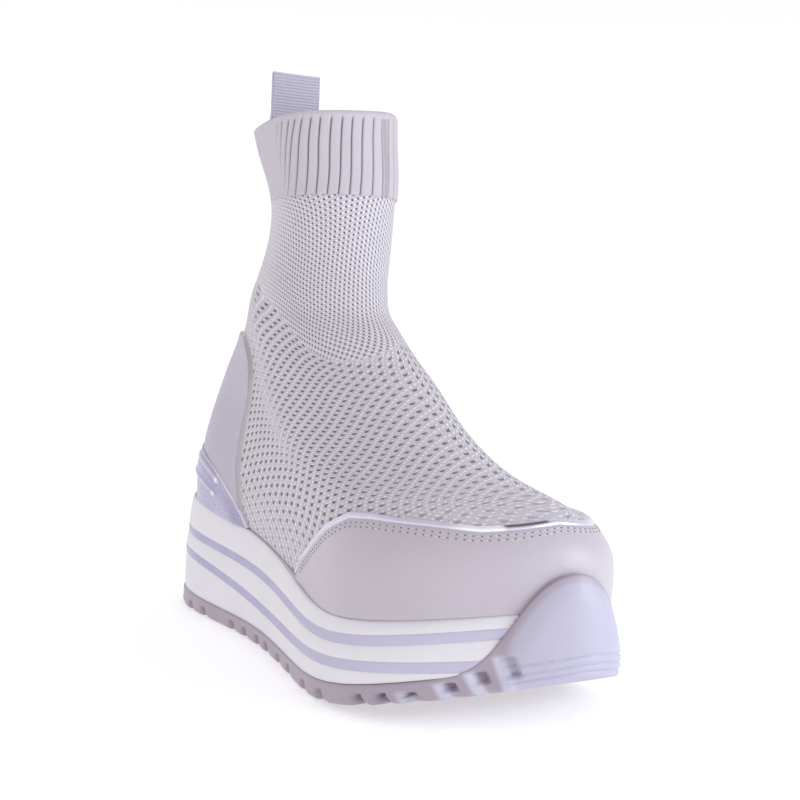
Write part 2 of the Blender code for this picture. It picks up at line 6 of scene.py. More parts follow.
import bpy
import mathutils
import numpy as np
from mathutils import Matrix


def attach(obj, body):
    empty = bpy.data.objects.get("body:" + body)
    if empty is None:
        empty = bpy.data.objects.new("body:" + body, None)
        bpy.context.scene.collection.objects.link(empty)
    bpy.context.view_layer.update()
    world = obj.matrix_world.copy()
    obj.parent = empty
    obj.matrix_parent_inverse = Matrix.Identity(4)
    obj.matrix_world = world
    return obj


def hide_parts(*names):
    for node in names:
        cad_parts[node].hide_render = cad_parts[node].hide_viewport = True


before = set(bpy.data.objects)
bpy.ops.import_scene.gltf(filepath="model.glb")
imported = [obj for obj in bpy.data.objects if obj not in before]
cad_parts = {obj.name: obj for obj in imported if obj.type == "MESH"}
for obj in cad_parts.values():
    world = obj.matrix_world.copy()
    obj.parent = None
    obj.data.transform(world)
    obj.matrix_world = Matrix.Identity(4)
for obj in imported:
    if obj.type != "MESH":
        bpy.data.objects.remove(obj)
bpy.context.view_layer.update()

# Overall sizes
MM = 0.001
SOLE_BACK = -3.5
SOLE_FRONT = 282.0
GAP = 0.3
FULL_TURN = 2 * np.pi
SMALL_TURN = 1e-4
SMALL_STEP = 1e-3
OUTLINE_SAMPLES = 4000
SHARP_ANGLE = np.radians(48.0)

# Sole outline: half widths at fixed shares of its length, with the end radii
WIDTH_STATIONS = (0.0, 0.15, 0.42, 0.72, 0.92, 1.0)
WIDTH_NAMES = ("heel_round", "heel", "waist", "ball", "toe", "toe_round")
SOLE_WIDTHS = dict(heel_round=37.0, heel=36.8, waist=35.4, ball=50.9, toe=37.0, toe_round=26.0)

# Middle line of sole and upper, curved to the inner side at the toe
CENTRE_X = (0.0, 60.0, 120.0, 180.0, 240.0, 262.0, 282.0)
CENTRE_Y = (-1.5, -2.4, -3.7, -2.4, 0.8, 6.2, 12.5)

# Heights of the sole's lines along the shoe
SOLE_X = (0.0, 60.0, 120.0, 180.0, 230.0, 285.0)
PLATE_TOP = (10.0, 7.4, 6.9, 6.4, 10.4, 24.0)
LOWER_STRIPE = (29.7, 23.8, 17.0, 14.7, 17.1, 24.3)
UPPER_STRIPE = (39.4, 34.3, 29.7, 24.5, 25.7, 35.4)
MIDSOLE_TOP = (54.7, 49.1, 42.0, 32.8, 32.7, 41.4)

# Rocker of the tread: flat between heel bevel and toe spring
HEEL_BEVEL_X = 14.0
HEEL_BEVEL_RISE = 3.0
TOE_SPRING_X = 192.0
TOE_SPRING_RISE = 17.5

# Teeth of the tread's edge: notches by their place along the outline from the heel's back
SOLE_COLUMNS = 960
NOTCHES = (15.0, 31.0, 48.0, 65.0, 82.0, 115.0, 130.0, 147.0, 160.5, 180.0, 197.5, 221.0, 238.0, 260.5,
           270.5, 281.0, 294.5, 305.0, 315.0)
NOTCH_HALF = 2.6
NOTCH_AT = (0.0, 272.0, 281.0, 294.5, 305.0, 315.0)
NOTCH_TOP = (4.8, 4.5, 4.2, 5.8, 8.2, 12.0)
NOTCH_FOOT = (-4.0, -3.0, 0.9, 2.0, 3.0, 3.8)
NOTCH_SLANT = (0.35, 0.35, 0.45, 0.55, 0.55, 0.35)
# Painted shade in the notches: the depths between which it darkens the rubber.
NOTCH_SHADE = (0.3, 1.0)
NOTCH_SOFT_SIDE = (-1.5, 0.1)
NOTCH_CRISP_SIDE = (1.15, 0.65)
NOTCH_ARCH = 0.35
NOTCH_TOP_SOFT = 1.2
NOTCH_FOOT_SOFT = 1.6
NOTCH_DEEP = (1.0, 1.0, 0.8, 0.66, 0.62, 0.55)
NOTCH_LIFT = (2.4, 2.4, 0.9, 0.5, 0.3, 0.0)
# Strength of the painted highlight beside each notch, by its place.
NOTCH_FLANK_HIGHLIGHT = (0.0, 0.0, 0.6, 0.9, 1.0, 1.0)
NOTCH_IN = 4.2
NOTCH_INSET = 12.0
# Painted highlight on the flank beside each notch: where it starts and ends across the notch, and how it
# fades at the top and in the deep part.
FLANK_START = (-2.3, -1.5)
FLANK_END = (0.2, -0.5)
FLANK_TOP_SOFT = 1.0
FLANK_FADE = (0.9, 0.5)
TOOTH_CORNER = 4.5
TOOTH_SOFT = 0.6
TOOTH_LIFT_INSIDE = 0.7
EDGE_ROUND = 1.7
EDGE_STEPS = 5

# Toe bumper: its upper edge by the distance along the outline from its crown
BUMPER_CROWN_Y = 8.5
BUMPER_REACH = (0.0, 5.0, 10.0, 15.0, 20.0, 25.0, 31.0, 40.0, 52.0, 62.0)
BUMPER_EDGE = (53.0, 52.1, 49.7, 45.6, 39.6, 32.8, 25.6, 18.6, 11.0, 4.0)
BUMPER_RISE = (0.0, 8.0, 16.0, 25.0)
BUMPER_OUTER = (0.3, 0.4, 0.7, 1.2)
BUMPER_INNER = (2.8, 2.8, 2.8, 2.9)
BUMPER_ROWS = 56
BUMPER_CROWDING = 1.35
BUMPER_RIM_STEPS = 7
BUMPER_BULGE = 2.9
BUMPER_FLANK = (22.5, 27.0)
BUMPER_SHOULDER = 11.0
BUMPER_UNDER = 9.0
# Distance under the bumper's rim over which its lilac tint, painted cool light on the front, comes in; taupe
# at the rim itself.
BUMPER_BAND = (0.5, 3.6)
BUMPER_BEHIND = 4.5
BUMPER_LINES = (2.9, 5.4, 8.4)
BUMPER_LINE_HALF = 0.4
BUMPER_LINE_DEPTH = 0.5
BUMPER_BLEND = 1.4
BUMPER_POWER = 2.2
BUMPER_TUCK = 0.4
BUMPER_RIM = (0.4, 1.25)
BUMPER_RIM_PARTS = 3.0
BUMPER_RIM_WIDE = 1.2
BUMPER_BACK_RISE = 6.0
BUMPER_BACK_DROP = 3.0
SLOPE_STEP = 0.5

# Midsole wall and the stripes let into it
MIDSOLE_COLUMNS = 560
MIDSOLE_HIDDEN = 5.5
MIDSOLE_HIDING = (0.5, 4.0)
SEAT_GAP = 0.15
LOWER_INSET = 1.0
UPPER_INSET = 2.0
RIM_INSET = 3.6
RIM_ROUND = 0.9
GROOVE_HALF = 1.85
GROOVE_DEPTH = 1.6
STRIPE_PROUD = 0.35
STRIPE_SUNK = 0.2
STRIPE_FLAT = 0.94
STRIPE_TUCK = 2.0
STRIPE_ROWS = 11
# Painted highlight: between these x the stripes' film is paled towards the front, for the gloss it shows
# there.
STRIPE_PAINTED_HIGHLIGHT = (150.0, 262.0)
BAND_ROWS = 15
BAND_LIP = 0.5
STRIPE_LIP = 0.12
BAND_ROUND = 0.8
BAND_SWELL = 0.25
LEAST_STEP = 0.02
MIDSOLE_FLOOR_INSET = 12.0

# Upper: one row for each section, from the midsole's top to the collar
WALL = 2.5
CUFF_LEVEL = 14.0
CUFF_STEP = 0.9
UPPER_NAMES = ("back_x", "back_z", "front_x", "front_z", "side", "heel_round", "heel", "waist",
               "ball", "toe", "toe_round", "sag")
UPPER_ROWS = (
    (10.5, 0.0, 275.0, 0.0, 0.8, 31.0, 30.6, 31.4, 45.3, 36.8, 31.0, 1.00),
    (10.0, 61.0, 275.5, 48.0, 0.8, 31.0, 30.8, 31.8, 45.6, 37.2, 31.0, 0.90),
    (10.0, 71.0, 275.0, 57.0, 0.5, 30.5, 30.7, 32.0, 44.8, 36.8, 31.0, 0.70),
    (11.0, 81.0, 270.0, 65.0, 0.0, 29.0, 29.8, 31.8, 42.6, 33.8, 30.0, 0.50),
    (13.5, 91.0, 260.0, 71.5, 0.2, 27.0, 28.4, 31.2, 39.2, 29.6, 27.0, 0.35),
    (16.5, 100.0, 243.0, 77.0, 0.4, 25.0, 26.8, 30.4, 34.8, 24.0, 22.0, 0.20),
    (19.5, 109.0, 222.5, 85.0, 1.2, 23.5, 25.4, 29.8, 31.6, 20.8, 18.0, 0.10),
    (22.5, 118.0, 201.0, 96.0, 2.4, 22.5, 24.4, 29.6, 29.4, 19.2, 16.0, 0.05),
    (26.0, 127.0, 181.5, 108.0, 4.0, 21.5, 23.4, 29.2, 28.2, 18.6, 15.5, 0.00),
    (30.5, 137.0, 161.5, 121.0, 5.0, 20.5, 22.4, 29.0, 26.4, 17.0, 15.0, 0.00),
    (35.0, 147.0, 141.0, 136.0, 5.6, 20.0, 21.6, 28.6, 25.4, 16.0, 16.0, 0.00),
    (40.0, 158.0, 127.5, 151.0, 6.8, 19.5, 20.6, 28.0, 25.2, 15.4, 18.5, 0.00),
    (45.0, 170.0, 121.0, 166.0, 9.4, 18.5, 19.4, 27.4, 25.0, 15.2, 19.5, 0.00),
    (48.0, 182.5, 119.0, 182.0, 11.2, 18.5, 19.0, 27.2, 24.8, 15.0, 20.0, 0.00),
    (50.5, 195.0, 119.5, 196.0, 11.2, 21.0, 20.0, 27.5, 25.0, 15.2, 21.0, 0.00),
    (50.0, 206.0, 120.5, 208.0, 10.0, 24.0, 21.6, 28.4, 26.0, 15.6, 22.0, 0.00),
    (48.5, 216.5, 121.5, 220.0, 8.0, 27.0, 23.2, 29.6, 26.8, 16.2, 22.5, 0.00),
    (47.0, 227.0, 122.5, 231.5, 6.6, 29.0, 24.4, 30.5, 27.6, 16.6, 23.0, 0.00),
)
TOP_LEVEL = float(len(UPPER_ROWS) - 1)

# Where the open knit of the foot ends and the fine knit of the shaft starts: turn in degrees, level
KNIT_BORDER_TURN = (0.0, 63.0, 77.5, 107.0, 124.5, 145.0, 176.0, 204.5, 235.0, 253.0, 283.0, 297.0, 360.0)
KNIT_BORDER_LEVEL = (11.9, 11.5, 11.02, 10.09, 9.10, 8.93, 9.27, 9.55, 9.45, 10.09, 11.02, 11.5, 11.9)

# Colours of the knit on an 8-bit display, the painted shade in its holes, and how its loose fibres blend them
KNIT_DARK = (180, 173, 182)
KNIT_LIGHT = (237, 232, 240)
KNIT_HOLE_SHADE = (90, 84, 94)
LOOSE_SHARE = 0.75
LIGHTEST = 0.85

# Open knit: slanted holes on a nearly square lattice
FOOT_COLUMNS = 680
FOOT_ROWS = 144
FOOT_RING = 5.0
FOOT_FIRST = (4.4, 0.0)
FOOT_SECOND = (-0.4, 4.0)
FOOT_HOLE = (1.3, 0.62)
FOOT_HOLE_TAPER = (1.5, 0.4)
FOOT_HOLE_SOFT = (0.45, 1.4)
FOOT_HOLE_FAINT = 0.5
FOOT_PIT = (1.35, 0.75)
FOOT_RELIEF = 0.5
FOOT_STITCHES = 2.0
FOOT_STITCH = (0.9, 0.42)
FOOT_STITCH_SLANT = np.radians(84.0)
STITCH_SOFT = 1.3
BORDER_SOFT = 0.08

# Worn cloth by its turn: width and height of its cells, tilt of its rows and slant of its holes
ROW_AXIS = (-0.10, 0.34, 1.0)
CLOTH_TURN = (0.0, 95.0, 140.0, 180.0, 220.0, 265.0, 360.0)
CLOTH_WIDE = (1.9, 1.9, 1.0, 0.7, 0.8, 1.2, 1.2)
CLOTH_TALL = (0.8, 0.8, 1.32, 1.4, 1.35, 1.1, 1.1)
CLOTH_TILT = (20.0, 20.0, 4.0, -12.0, -14.0, 0.0, 0.0)
CLOTH_SLANT = (52.0, 52.0, 68.0, 82.0, 84.0, 70.0, 70.0)

# Even stitches of the back: the turn over which the knit passes into them, width and height in metres
EVEN_TURN = (58.0, 38.0)
EVEN_STITCH = (0.0032, 0.0026)

# Layout of the cloth on the upper: the fit's grid, its rounds, and how firmly it is held
BORDER_HOLD = 0.12
FIT_COLUMNS = 170
FIT_ROWS = 48
FIT_ROUNDS = 1500
FIT_SHEAR = 0.03
FIT_BEND = 0.35

# Where the open knit closes: by how much, and between which levels and turns
TOE_CLOSED = 0.55
TOE_CLOSED_LEVEL = (6.0, 3.8)
TOE_CLOSED_TURN = (120.0, 160.0)
LOW_CLOSED = 0.65
LOW_CLOSED_LEVEL = (2.6, 0.6)
PLAIN_BAND = 0.8
PLAIN_BAND_TURN = 86.0
PLAIN_BAND_LEVEL = 6.4
PLAIN_BAND_SLOPE = 4.2
PLAIN_BAND_HALF = 7.0
PLAIN_BAND_START = (3.6, 5.4)
HEEL_OPEN_TURN = (64.0, 74.0)
HEEL_OPEN_SLOPE = 2.2
HEEL_OPEN_BELOW = 8.5
HEEL_OPEN_REACH = 4.0
HEEL_OPEN_LEVEL = (9.0, 7.5)

# Fine knit: small holes in offset rows
SHAFT_COLUMNS = 400
SHAFT_ROWS = 120
SHAFT_RING = 12.0
SHAFT_FIRST = (1.94, -0.76)
SHAFT_SECOND = (0.0, 2.3)
SHAFT_HOLE = 0.46
SHAFT_HOLE_SOFT = (0.5, 1.25)
SHAFT_STITCHES = 1.0
SHAFT_STITCH = (1.1, 0.42)
SHAFT_STITCH_SLANT = np.radians(60.0)
SHAFT_RELIEF = 0.30
PLAIN_TURN = (52.0, 72.0, 90.0)
PLAIN_LEVEL = (11.84, 12.96, 14.03)
PLAIN_SOFT = 9.0
SHAFT_FADE = (78.0, 122.0)

# Cuff: upright ribs with narrow grooves, plain at the back
CUFF_COLUMNS = 640
CUFF_ROWS = 44
CUFF_RING = 15.5
CUFF_OVERLAP = 0.1
CUFF_FOOT_EDGE = ((-0.02, -0.6), (-0.02, 0.45), (0.02, 0.81))
CUFF_FULL = 0.07
CUFF_STITCH = (1.55, 1.1)
CUFF_CHEVRON = 3.0
RIB_HEAD = (108.1, 113.8, 120.9, 126.6, 132.3, 139.1, 146.1, 154.2, 162.6, 170.7, 180.1, 190.5, 199.9, 209.3,
            218.0, 227.0, 236.0, 245.0, 254.0, 263.0)
RIB_FOOT = (90.0, 95.0, 100.4, 105.8, 115.5, 126.3, 135.7, 145.1, 154.2, 163.6, 173.3, 185.5, 197.9, 206.3,
            216.0, 226.0, 236.0, 246.0, 256.0, 266.0)
RIB_GROOVE = 0.34
RIB_DEPTH = 0.65
RIB_CROWN = 0.35
RIB_TOP = 16.84
RIB_SOFT = 0.06
RIB_PLAIN = (96.0, 118.0)
CUFF_FLUSH = (70.0, 102.0)
CUFF_FLUSH_LEAST = 0.1
COLLAR_LIFT = 4.0
COLLAR_LIFT_TURN = 232.0
COLLAR_LIFT_REACH = 40.0
COLLAR_LOWER = 0.5
COLLAR_LIFT_LEVELS = (12.0, 17.0)
COLLAR_BEAD = 0.16
COLLAR_BEAD_PITCH = 1.75
CUFF_SEAM_TURN = 203.4
CUFF_SEAM_HALF = 1.9
CUFF_SEAM_DEEP = 0.45
COLLAR_STEPS = 9
COLLAR_FLAT = 0.8
COLLAR_INSIDE_ROWS = 12
LINING_START = 13.6
LINING_RING = 8.0
LINING_OVERLAP = 0.05
LINING_CALM = 2.0
LINING_COLUMNS = 160
LINING_ROWS = 60

# Soft folds of the upper: turn, level, reach in degrees, half width in levels, slope, depth in mm
CREASES = (
    (152.0, 10.45, 46.0, 0.42, 0.000, -1.1),
    (150.0, 9.55, 40.0, 0.40, -0.004, 0.6),
    (92.0, 10.25, 26.0, 0.45, -0.030, -0.7),
    (84.0, 9.20, 20.0, 0.42, -0.025, 0.5),
    (208.0, 10.45, 46.0, 0.42, 0.000, -1.1),
    (268.0, 10.25, 26.0, 0.45, 0.030, -0.7),
    (0.0, 11.30, 50.0, 0.55, 0.000, -0.8),
    (128.0, 12.10, 36.0, 0.50, 0.012, -0.4),
)

# Overlays: upper edge of each panel by its turn from the middle of heel or toe, in degrees
PANEL_GAP = 0.6
PANEL_THICK = 1.3
PANEL_SEAT = -0.4
PANEL_UNDER = 0.3
PANEL_ROLL = 1.5
TOE_CAP_TURN = (0.0, 12.0, 22.0, 34.0, 46.0, 53.0, 62.0, 71.0, 77.5, 80.5)
TOE_CAP_LEVEL = (3.36, 3.20, 3.13, 3.30, 3.38, 3.30, 2.70, 1.92, 1.17, 0.40)
TOE_CAP_COLUMNS = 260
TOE_CAP_ROWS = 44
TRIM_HALF = 0.12
TRIM_SEAM = 0.03
TRIM_ROWS = 9
TRIM_CROWN = 0.55
TRIM_EDGE = 0.5
TRIM_ROUND = 0.97
# Painted white glint and painted dark reflection on the trim: turns in degrees where each rises and falls,
# and the place across the strip where the dark one starts.
TRIM_PAINTED_GLARE = (150.0, 156.0, 164.5, 163.0)
TRIM_PAINTED_REFLECTION = (163.2, 164.6, 178.0, 176.0)
TRIM_PAINTED_REFLECTION_ROWS = (-0.5, 0.1)
COUNTER_LEVEL = (0.0, 1.4, 2.8, 4.0, 5.0, 6.2, 7.4, 8.2, 8.9)
COUNTER_TURN = (67.0, 64.7, 64.0, 64.6, 66.3, 70.4, 72.3, 67.6, 55.6)
COUNTER_ROWS = 80
COUNTER_COLUMNS = 150
COUNTER_CUT = 0.7
CLIP_GAP = 2.1
CLIP_THICK = 2.2
CLIP_TURN = (0.0, 20.0, 34.8, 47.3, 55.3, 60.7, 65.1, 69.0)
CLIP_LEVEL = (2.93, 2.90, 2.74, 2.28, 1.79, 1.36, 0.82, 0.08)
CLIP_ROWS = 90
CLIP_CROWDING = 1.7
CLIP_COLUMNS = 280
CLIP_EDGE_TURN = (59.0, 66.5)
CLIP_EDGE_HIGH = (2.0, 1.2)
CLIP_FULL_AT = 9.0
CLIP_ROLL = 0.5
CLIP_RIM = 0.6
CLIP_RIM_AT = 0.45
CLIP_RIM_HALF = 0.5
CLIP_RIDGE_TURN = (0.0, 33.5, 45.8, 53.0, 60.0)
CLIP_RIDGE_LEVELS = ((2.46, 2.37, 2.03, 1.69, 1.30), (1.76, 1.65, 1.38, 1.11, 0.80))
CLIP_RIDGE_HALF = 0.11
CLIP_RIDGE_HIGH = 0.9
# Painted highlights on the clip: along the rim between these turns, faintly on the ridges, fully at their end
# dots.
CLIP_RIM_PAINTED_HIGHLIGHT = (38.0, 56.0)
CLIP_RIDGE_END = 53.2
CLIP_RIDGE_SOFT = 0.6
CLIP_RIDGE_PAINTED_HIGHLIGHT = 0.2
CLIP_DOT_HIGH = 0.5
CLIP_DOT_REACH = 0.8

# Stitching below the toe trim
STITCH_PITCH = 2.9
STITCH_LONG = 2.1
STITCH_HALF = 0.30
STITCH_LINES = (2.7, 4.2)
STITCH_HOLE = 0.27
STITCH_HOLE_LONG = 0.594
STITCH_END = 1.0
STITCH_SAMPLES = 900
STITCH_SMOOTHING = 25
STITCH_LOWEST = 0.15
BEAD_SIDES = 6
BEAD_RINGS = (-0.62, 0.0, 0.62)

# Insole plate
INSOLE_THICK = 3.0
INSOLE_GAP = 0.6
INSOLE_COLUMNS = 160
INSOLE_EDGE = ((1.0, 0.0), (1.0, INSOLE_THICK - 1.0), (0.985, INSOLE_THICK - 0.2), (0.95, INSOLE_THICK))

# Pull loop: a webbing strip over the back of the collar
LOOP_WIDE = 27.0
LOOP_THICK = 1.2
LOOP_FOOT_Z = 204.0
LOOP_TOP_Z = 261.5
LOOP_GAP = 0.8
LOOP_CLOSED = 0.9
LOOP_TILT = 1.1
LOOP_CLOSING = 14.0
LOOP_COLUMNS = 16
LOOP_STEPS = 620
LOOP_SHIFT = 1.7
LOOP_FLAT = 0.85
LOOP_FOLD_STEPS = 10
LOOP_SPAN = 0.5
LOOP_SAMPLES = 201
LOOP_RIB_PITCH = 1.5
LOOP_RIB_HIGH = 0.22
LEVEL_SAMPLES = 40

# Camera: the photograph's place and lens in shoe coordinates, with the picture's side in pixels
CAMERA_AT = (614.3, -250.9, 124.0)
CAMERA_YAW = np.radians(147.8)
CAMERA_PITCH = np.radians(-1.11)
CAMERA_ROLL = np.radians(-1.83)
CAMERA_FOCAL = 1244.0
CAMERA_CENTRE = (462.0, 335.0)
PICTURE_SIDE = 800.0
SENSOR = 36.0
CAMERA_NEAR = 0.01

# Studio: brightness of the surroundings low and overhead, the floor, and the lamps in metres and watts
SKY_LEVEL = 1.145
SKY_TOP = 0.62
SKY_COLOUR = (1.0, 0.99, 1.0, 1.0)
FLOOR_GLOW = 0.42
FLOOR_HALF = 12.0
FLOOR_PAINT = ((0.78, 0.78, 0.79), (0.81, 0.81, 0.82))
KEY_LAMP = dict(place=(0.70, 0.42, 0.28), aim=(0.10, 0.0, 0.07), size=0.5, power=1.7,
                colour=(0.82, 0.92, 1.0))
TOE_LAMP = dict(place=(0.31, 0.17, 0.09), aim=(0.13, 0.01, 0.04), size=0.2, power=0.15,
                colour=(0.80, 0.90, 1.0))


def smooth(stations, values, where):
    """Natural cubic curve through a short table."""
    place = np.asarray(stations, float)
    value = np.asarray(values, float)
    count = len(place)
    step = np.diff(place)
    slope = np.diff(value) / step
    system = np.eye(count)
    right = np.zeros(count)
    for i in range(1, count - 1):
        system[i, i - 1] = step[i - 1]
        system[i, i] = 2 * (step[i - 1] + step[i])
        system[i, i + 1] = step[i]
        right[i] = 6 * (slope[i] - slope[i - 1])
    bend = np.linalg.solve(system, right)
    at = np.clip(np.asarray(where, float), place[0], place[-1])
    left = np.clip(np.searchsorted(place, at) - 1, 0, count - 2)
    gone = at - place[left]
    first = slope[left] - step[left] * (2 * bend[left] + bend[left + 1]) / 6
    cubic = (bend[left + 1] - bend[left]) / (6 * step[left])
    return value[left] + first * gone + bend[left] / 2 * gone ** 2 + cubic * gone ** 3


def soft_step(low, high, value):
    """Smooth rise from 0 at low to 1 at high."""
    share = np.clip((value - low) / (high - low), 0, 1)
    return share * share * (3 - 2 * share)


def unit(vectors):
    """Vectors brought to length one."""
    return vectors / np.linalg.norm(vectors, axis=-1, keepdims=True)


def lengths_along(points):
    """Length along a line of points, from its first one."""
    steps = np.linalg.norm(np.diff(points, axis=0), axis=1)
    return np.concatenate([[0.0], np.cumsum(steps)])


def width_shares(along):
    """Weight of each width column at a share of the section's length."""
    columns = np.eye(len(WIDTH_STATIONS))
    return np.stack([smooth(WIDTH_STATIONS, column, along) for column in columns], axis=-1)


def section_plan(turn, back, front, widths):
    """Plan view of a section: x, and the half width reached at each turn."""
    along = (1 - np.cos(turn)) / 2
    half_length = (front - back) / 2
    x = back + (front - back) * along
    reach = np.array(widths, float)
    for i, station in enumerate(WIDTH_STATIONS[1:-1], start=1):
        reach[..., i] = reach[..., i] / (2 * np.sqrt(station * (1 - station)))
    reach[..., 0] = np.sqrt(reach[..., 0] * half_length)
    reach[..., -1] = np.sqrt(reach[..., -1] * half_length)
    return x, np.sin(turn) * np.sum(width_shares(along) * reach, axis=-1)


def centre_line(x):
    return smooth(CENTRE_X, CENTRE_Y, x)


def sole_line(heights, x):
    return smooth(SOLE_X, heights, x)


def tread_bottom(x):
    """Underside of the tread, with the heel bevel and the toe spring."""
    heel = HEEL_BEVEL_RISE * (np.clip(HEEL_BEVEL_X - x, 0, None) / (HEEL_BEVEL_X - SOLE_BACK)) ** 2
    toe = TOE_SPRING_RISE * (np.clip(x - TOE_SPRING_X, 0, None) / (SOLE_FRONT - TOE_SPRING_X)) ** 2
    return heel + toe


def sole_outline(turn):
    """Widest outline of the sole."""
    turn = np.asarray(turn, float)
    widths = np.broadcast_to([SOLE_WIDTHS[name] for name in WIDTH_NAMES], turn.shape + (len(WIDTH_NAMES),))
    x, side = section_plan(turn, SOLE_BACK, SOLE_FRONT, widths)
    return np.stack([x, centre_line(x) - side], axis=-1)


def sole_ring(turn, inset):
    """Outline moved inwards by an inset."""
    ahead = unit(sole_outline(turn + SMALL_TURN) - sole_outline(turn - SMALL_TURN))
    inward = np.stack([-ahead[..., 1], ahead[..., 0]], axis=-1)
    return sole_outline(turn) + inward * np.broadcast_to(inset, np.shape(turn))[..., None]


def outline_lengths():
    """Length along the outline from the heel's back, at evenly spaced turns."""
    turn = np.linspace(0, FULL_TURN, OUTLINE_SAMPLES + 1)
    return turn, lengths_along(sole_outline(turn))


def sole_turns(count):
    """Turns that share the sole's outline into equal lengths."""
    turns, lengths = outline_lengths()
    return np.interp(np.linspace(0, lengths[-1], count, endpoint=False), lengths, turns)


def bumper_distance(turn):
    """Distance along the outline from the bumper's crown."""
    turns, lengths = outline_lengths()
    points = sole_outline(turns)
    front = np.where(points[:, 0] > CENTRE_X[-2], np.abs(points[:, 1] - BUMPER_CROWN_Y), np.inf)
    crown = lengths[np.argmin(front)]
    return np.abs(np.interp(np.mod(turn, FULL_TURN), turns, lengths) - crown)


def bumper_edge(turn):
    """Height of the bumper's upper edge, running softly into the plate's top."""
    x = sole_outline(turn)[..., 0]
    edge = smooth(BUMPER_REACH, BUMPER_EDGE, bumper_distance(turn))
    plate = sole_line(PLATE_TOP, x)
    apart = (edge - plate) / BUMPER_BLEND
    return plate + BUMPER_BLEND * np.logaddexp(apart, 0.0)


def ring_points(turn, inset, height):
    """Sole points at an inset, with the height as a function of x."""
    plan = sole_ring(turn, inset)
    z = height(plan[..., 0]) if callable(height) else height
    return np.concatenate([plan, np.broadcast_to(z, np.shape(turn))[..., None]], axis=-1)


def upper_column(name, level):
    """Column of the upper's section table, read at any level."""
    values = [row[UPPER_NAMES.index(name)] for row in UPPER_ROWS]
    if name.endswith("_z"):
        foot_x = UPPER_ROWS[0][UPPER_NAMES.index(name.replace("_z", "_x"))]
        values[0] = float(sole_line(MIDSOLE_TOP, foot_x)) + GAP
    return smooth(range(len(UPPER_ROWS)), values, level)


def upper_point(turn, level):
    """Outer face of the knitted upper."""
    turn, level = np.broadcast_arrays(np.asarray(turn, float), np.asarray(level, float))
    back = upper_column("back_x", level)
    front = upper_column("front_x", level)
    widths = np.stack([upper_column(name, level) for name in WIDTH_NAMES], axis=-1)
    x, side = section_plan(turn, back, front, widths)
    y = centre_line(x) + upper_column("side", level) - side
    along = (1 - np.cos(turn)) / 2
    chord = upper_column("back_z", level) * (1 - along) + upper_column("front_z", level) * along
    ends = sole_line(MIDSOLE_TOP, back) * (1 - along) + sole_line(MIDSOLE_TOP, front) * along
    z = chord + upper_column("sag", level) * (sole_line(MIDSOLE_TOP, x) - ends)
    return np.stack([x, y, z], axis=-1)


def upper_slopes(turn, level):
    """Steps on the upper's face for one radian of turn and for one level."""
    above = np.minimum(level + SMALL_STEP, TOP_LEVEL)
    below = np.maximum(level - SMALL_STEP, 0)
    around = upper_point(turn + SMALL_STEP, level) - upper_point(turn - SMALL_STEP, level)
    upward = upper_point(turn, above) - upper_point(turn, below)
    return around / (2 * SMALL_STEP), upward / (above - below)[..., None]


def upper_offset(turn, level, distance):
    """Point off the upper's outer face; the lowest row stays level with the midsole's top."""
    turn, level = np.broadcast_arrays(np.asarray(turn, float), np.asarray(level, float))
    around, upward = upper_slopes(turn, level)
    normal = np.cross(around, upward)
    normal[..., 2] *= np.clip(level, 0, 1)
    normal = unit(normal)
    base = upper_point(turn, level)
    point = base + normal * np.broadcast_to(distance, turn.shape)[..., None]
    settle = sole_line(MIDSOLE_TOP, point[..., 0]) - sole_line(MIDSOLE_TOP, base[..., 0])
    point[..., 2] += settle * (1 - np.clip(level, 0, 1))
    return point


def upper_turns(level, count):
    """Turns that share a ring of the upper into equal lengths, both ends at the heel's back."""
    turn = np.linspace(0, FULL_TURN, OUTLINE_SAMPLES + 1)
    lengths = lengths_along(upper_point(turn, level))
    return np.interp(np.linspace(0, lengths[-1], count + 1), lengths, turn)


def mirrored(turn):
    """Turn away from the heel's back in degrees, the same on both sides."""
    degrees = np.degrees(np.mod(turn, FULL_TURN))
    return np.minimum(degrees, 360 - degrees)


def creases(turn, level):
    """Height of the soft folds at a place on the upper."""
    degrees, level = np.broadcast_arrays(np.degrees(turn), level)
    height = np.zeros(degrees.shape)
    for middle, row, reach, half, slope, depth in CREASES:
        away = np.mod(degrees - middle + 180, 360) - 180
        line = (level - row - slope * away) / half
        height += depth * np.exp(-line ** 2) * np.exp(-(away / reach) ** 2)
    return height


def grid_faces(rows, columns, closed):
    """Quads of a grid of points, with the corners' places in the opened-out grid."""
    r, c = np.meshgrid(np.arange(rows - 1), np.arange(columns if closed else columns - 1), indexing="ij")

    def quads(width, after):
        low = r * width
        high = low + width
        return np.stack([low + c, low + after, high + after, high + c], -1).reshape(-1, 4)

    return quads(columns, (c + 1) % columns), quads(columns + 1 if closed else columns, c + 1)


def ladder_faces(first, columns, upward):
    """Cap of a ring: rungs between each outer-side point and the inner-side point across from it."""
    faces = []
    for c in range(columns // 2):
        ring = [c, c + 1, columns - c - 1, (columns - c) % columns]
        corners = [first + i for i in dict.fromkeys(ring)]
        faces.append(corners if upward else corners[::-1])
    return faces


def stacked_solid(loops):
    """Closed solid of rings stacked from its underside to its top."""
    rings = np.stack(loops)
    rows, columns = rings.shape[:2]
    faces = grid_faces(rows, columns, closed=True)[0].tolist()
    faces += ladder_faces(0, columns, upward=False)
    faces += ladder_faces((rows - 1) * columns, columns, upward=True)
    return rings.reshape(-1, 3), faces


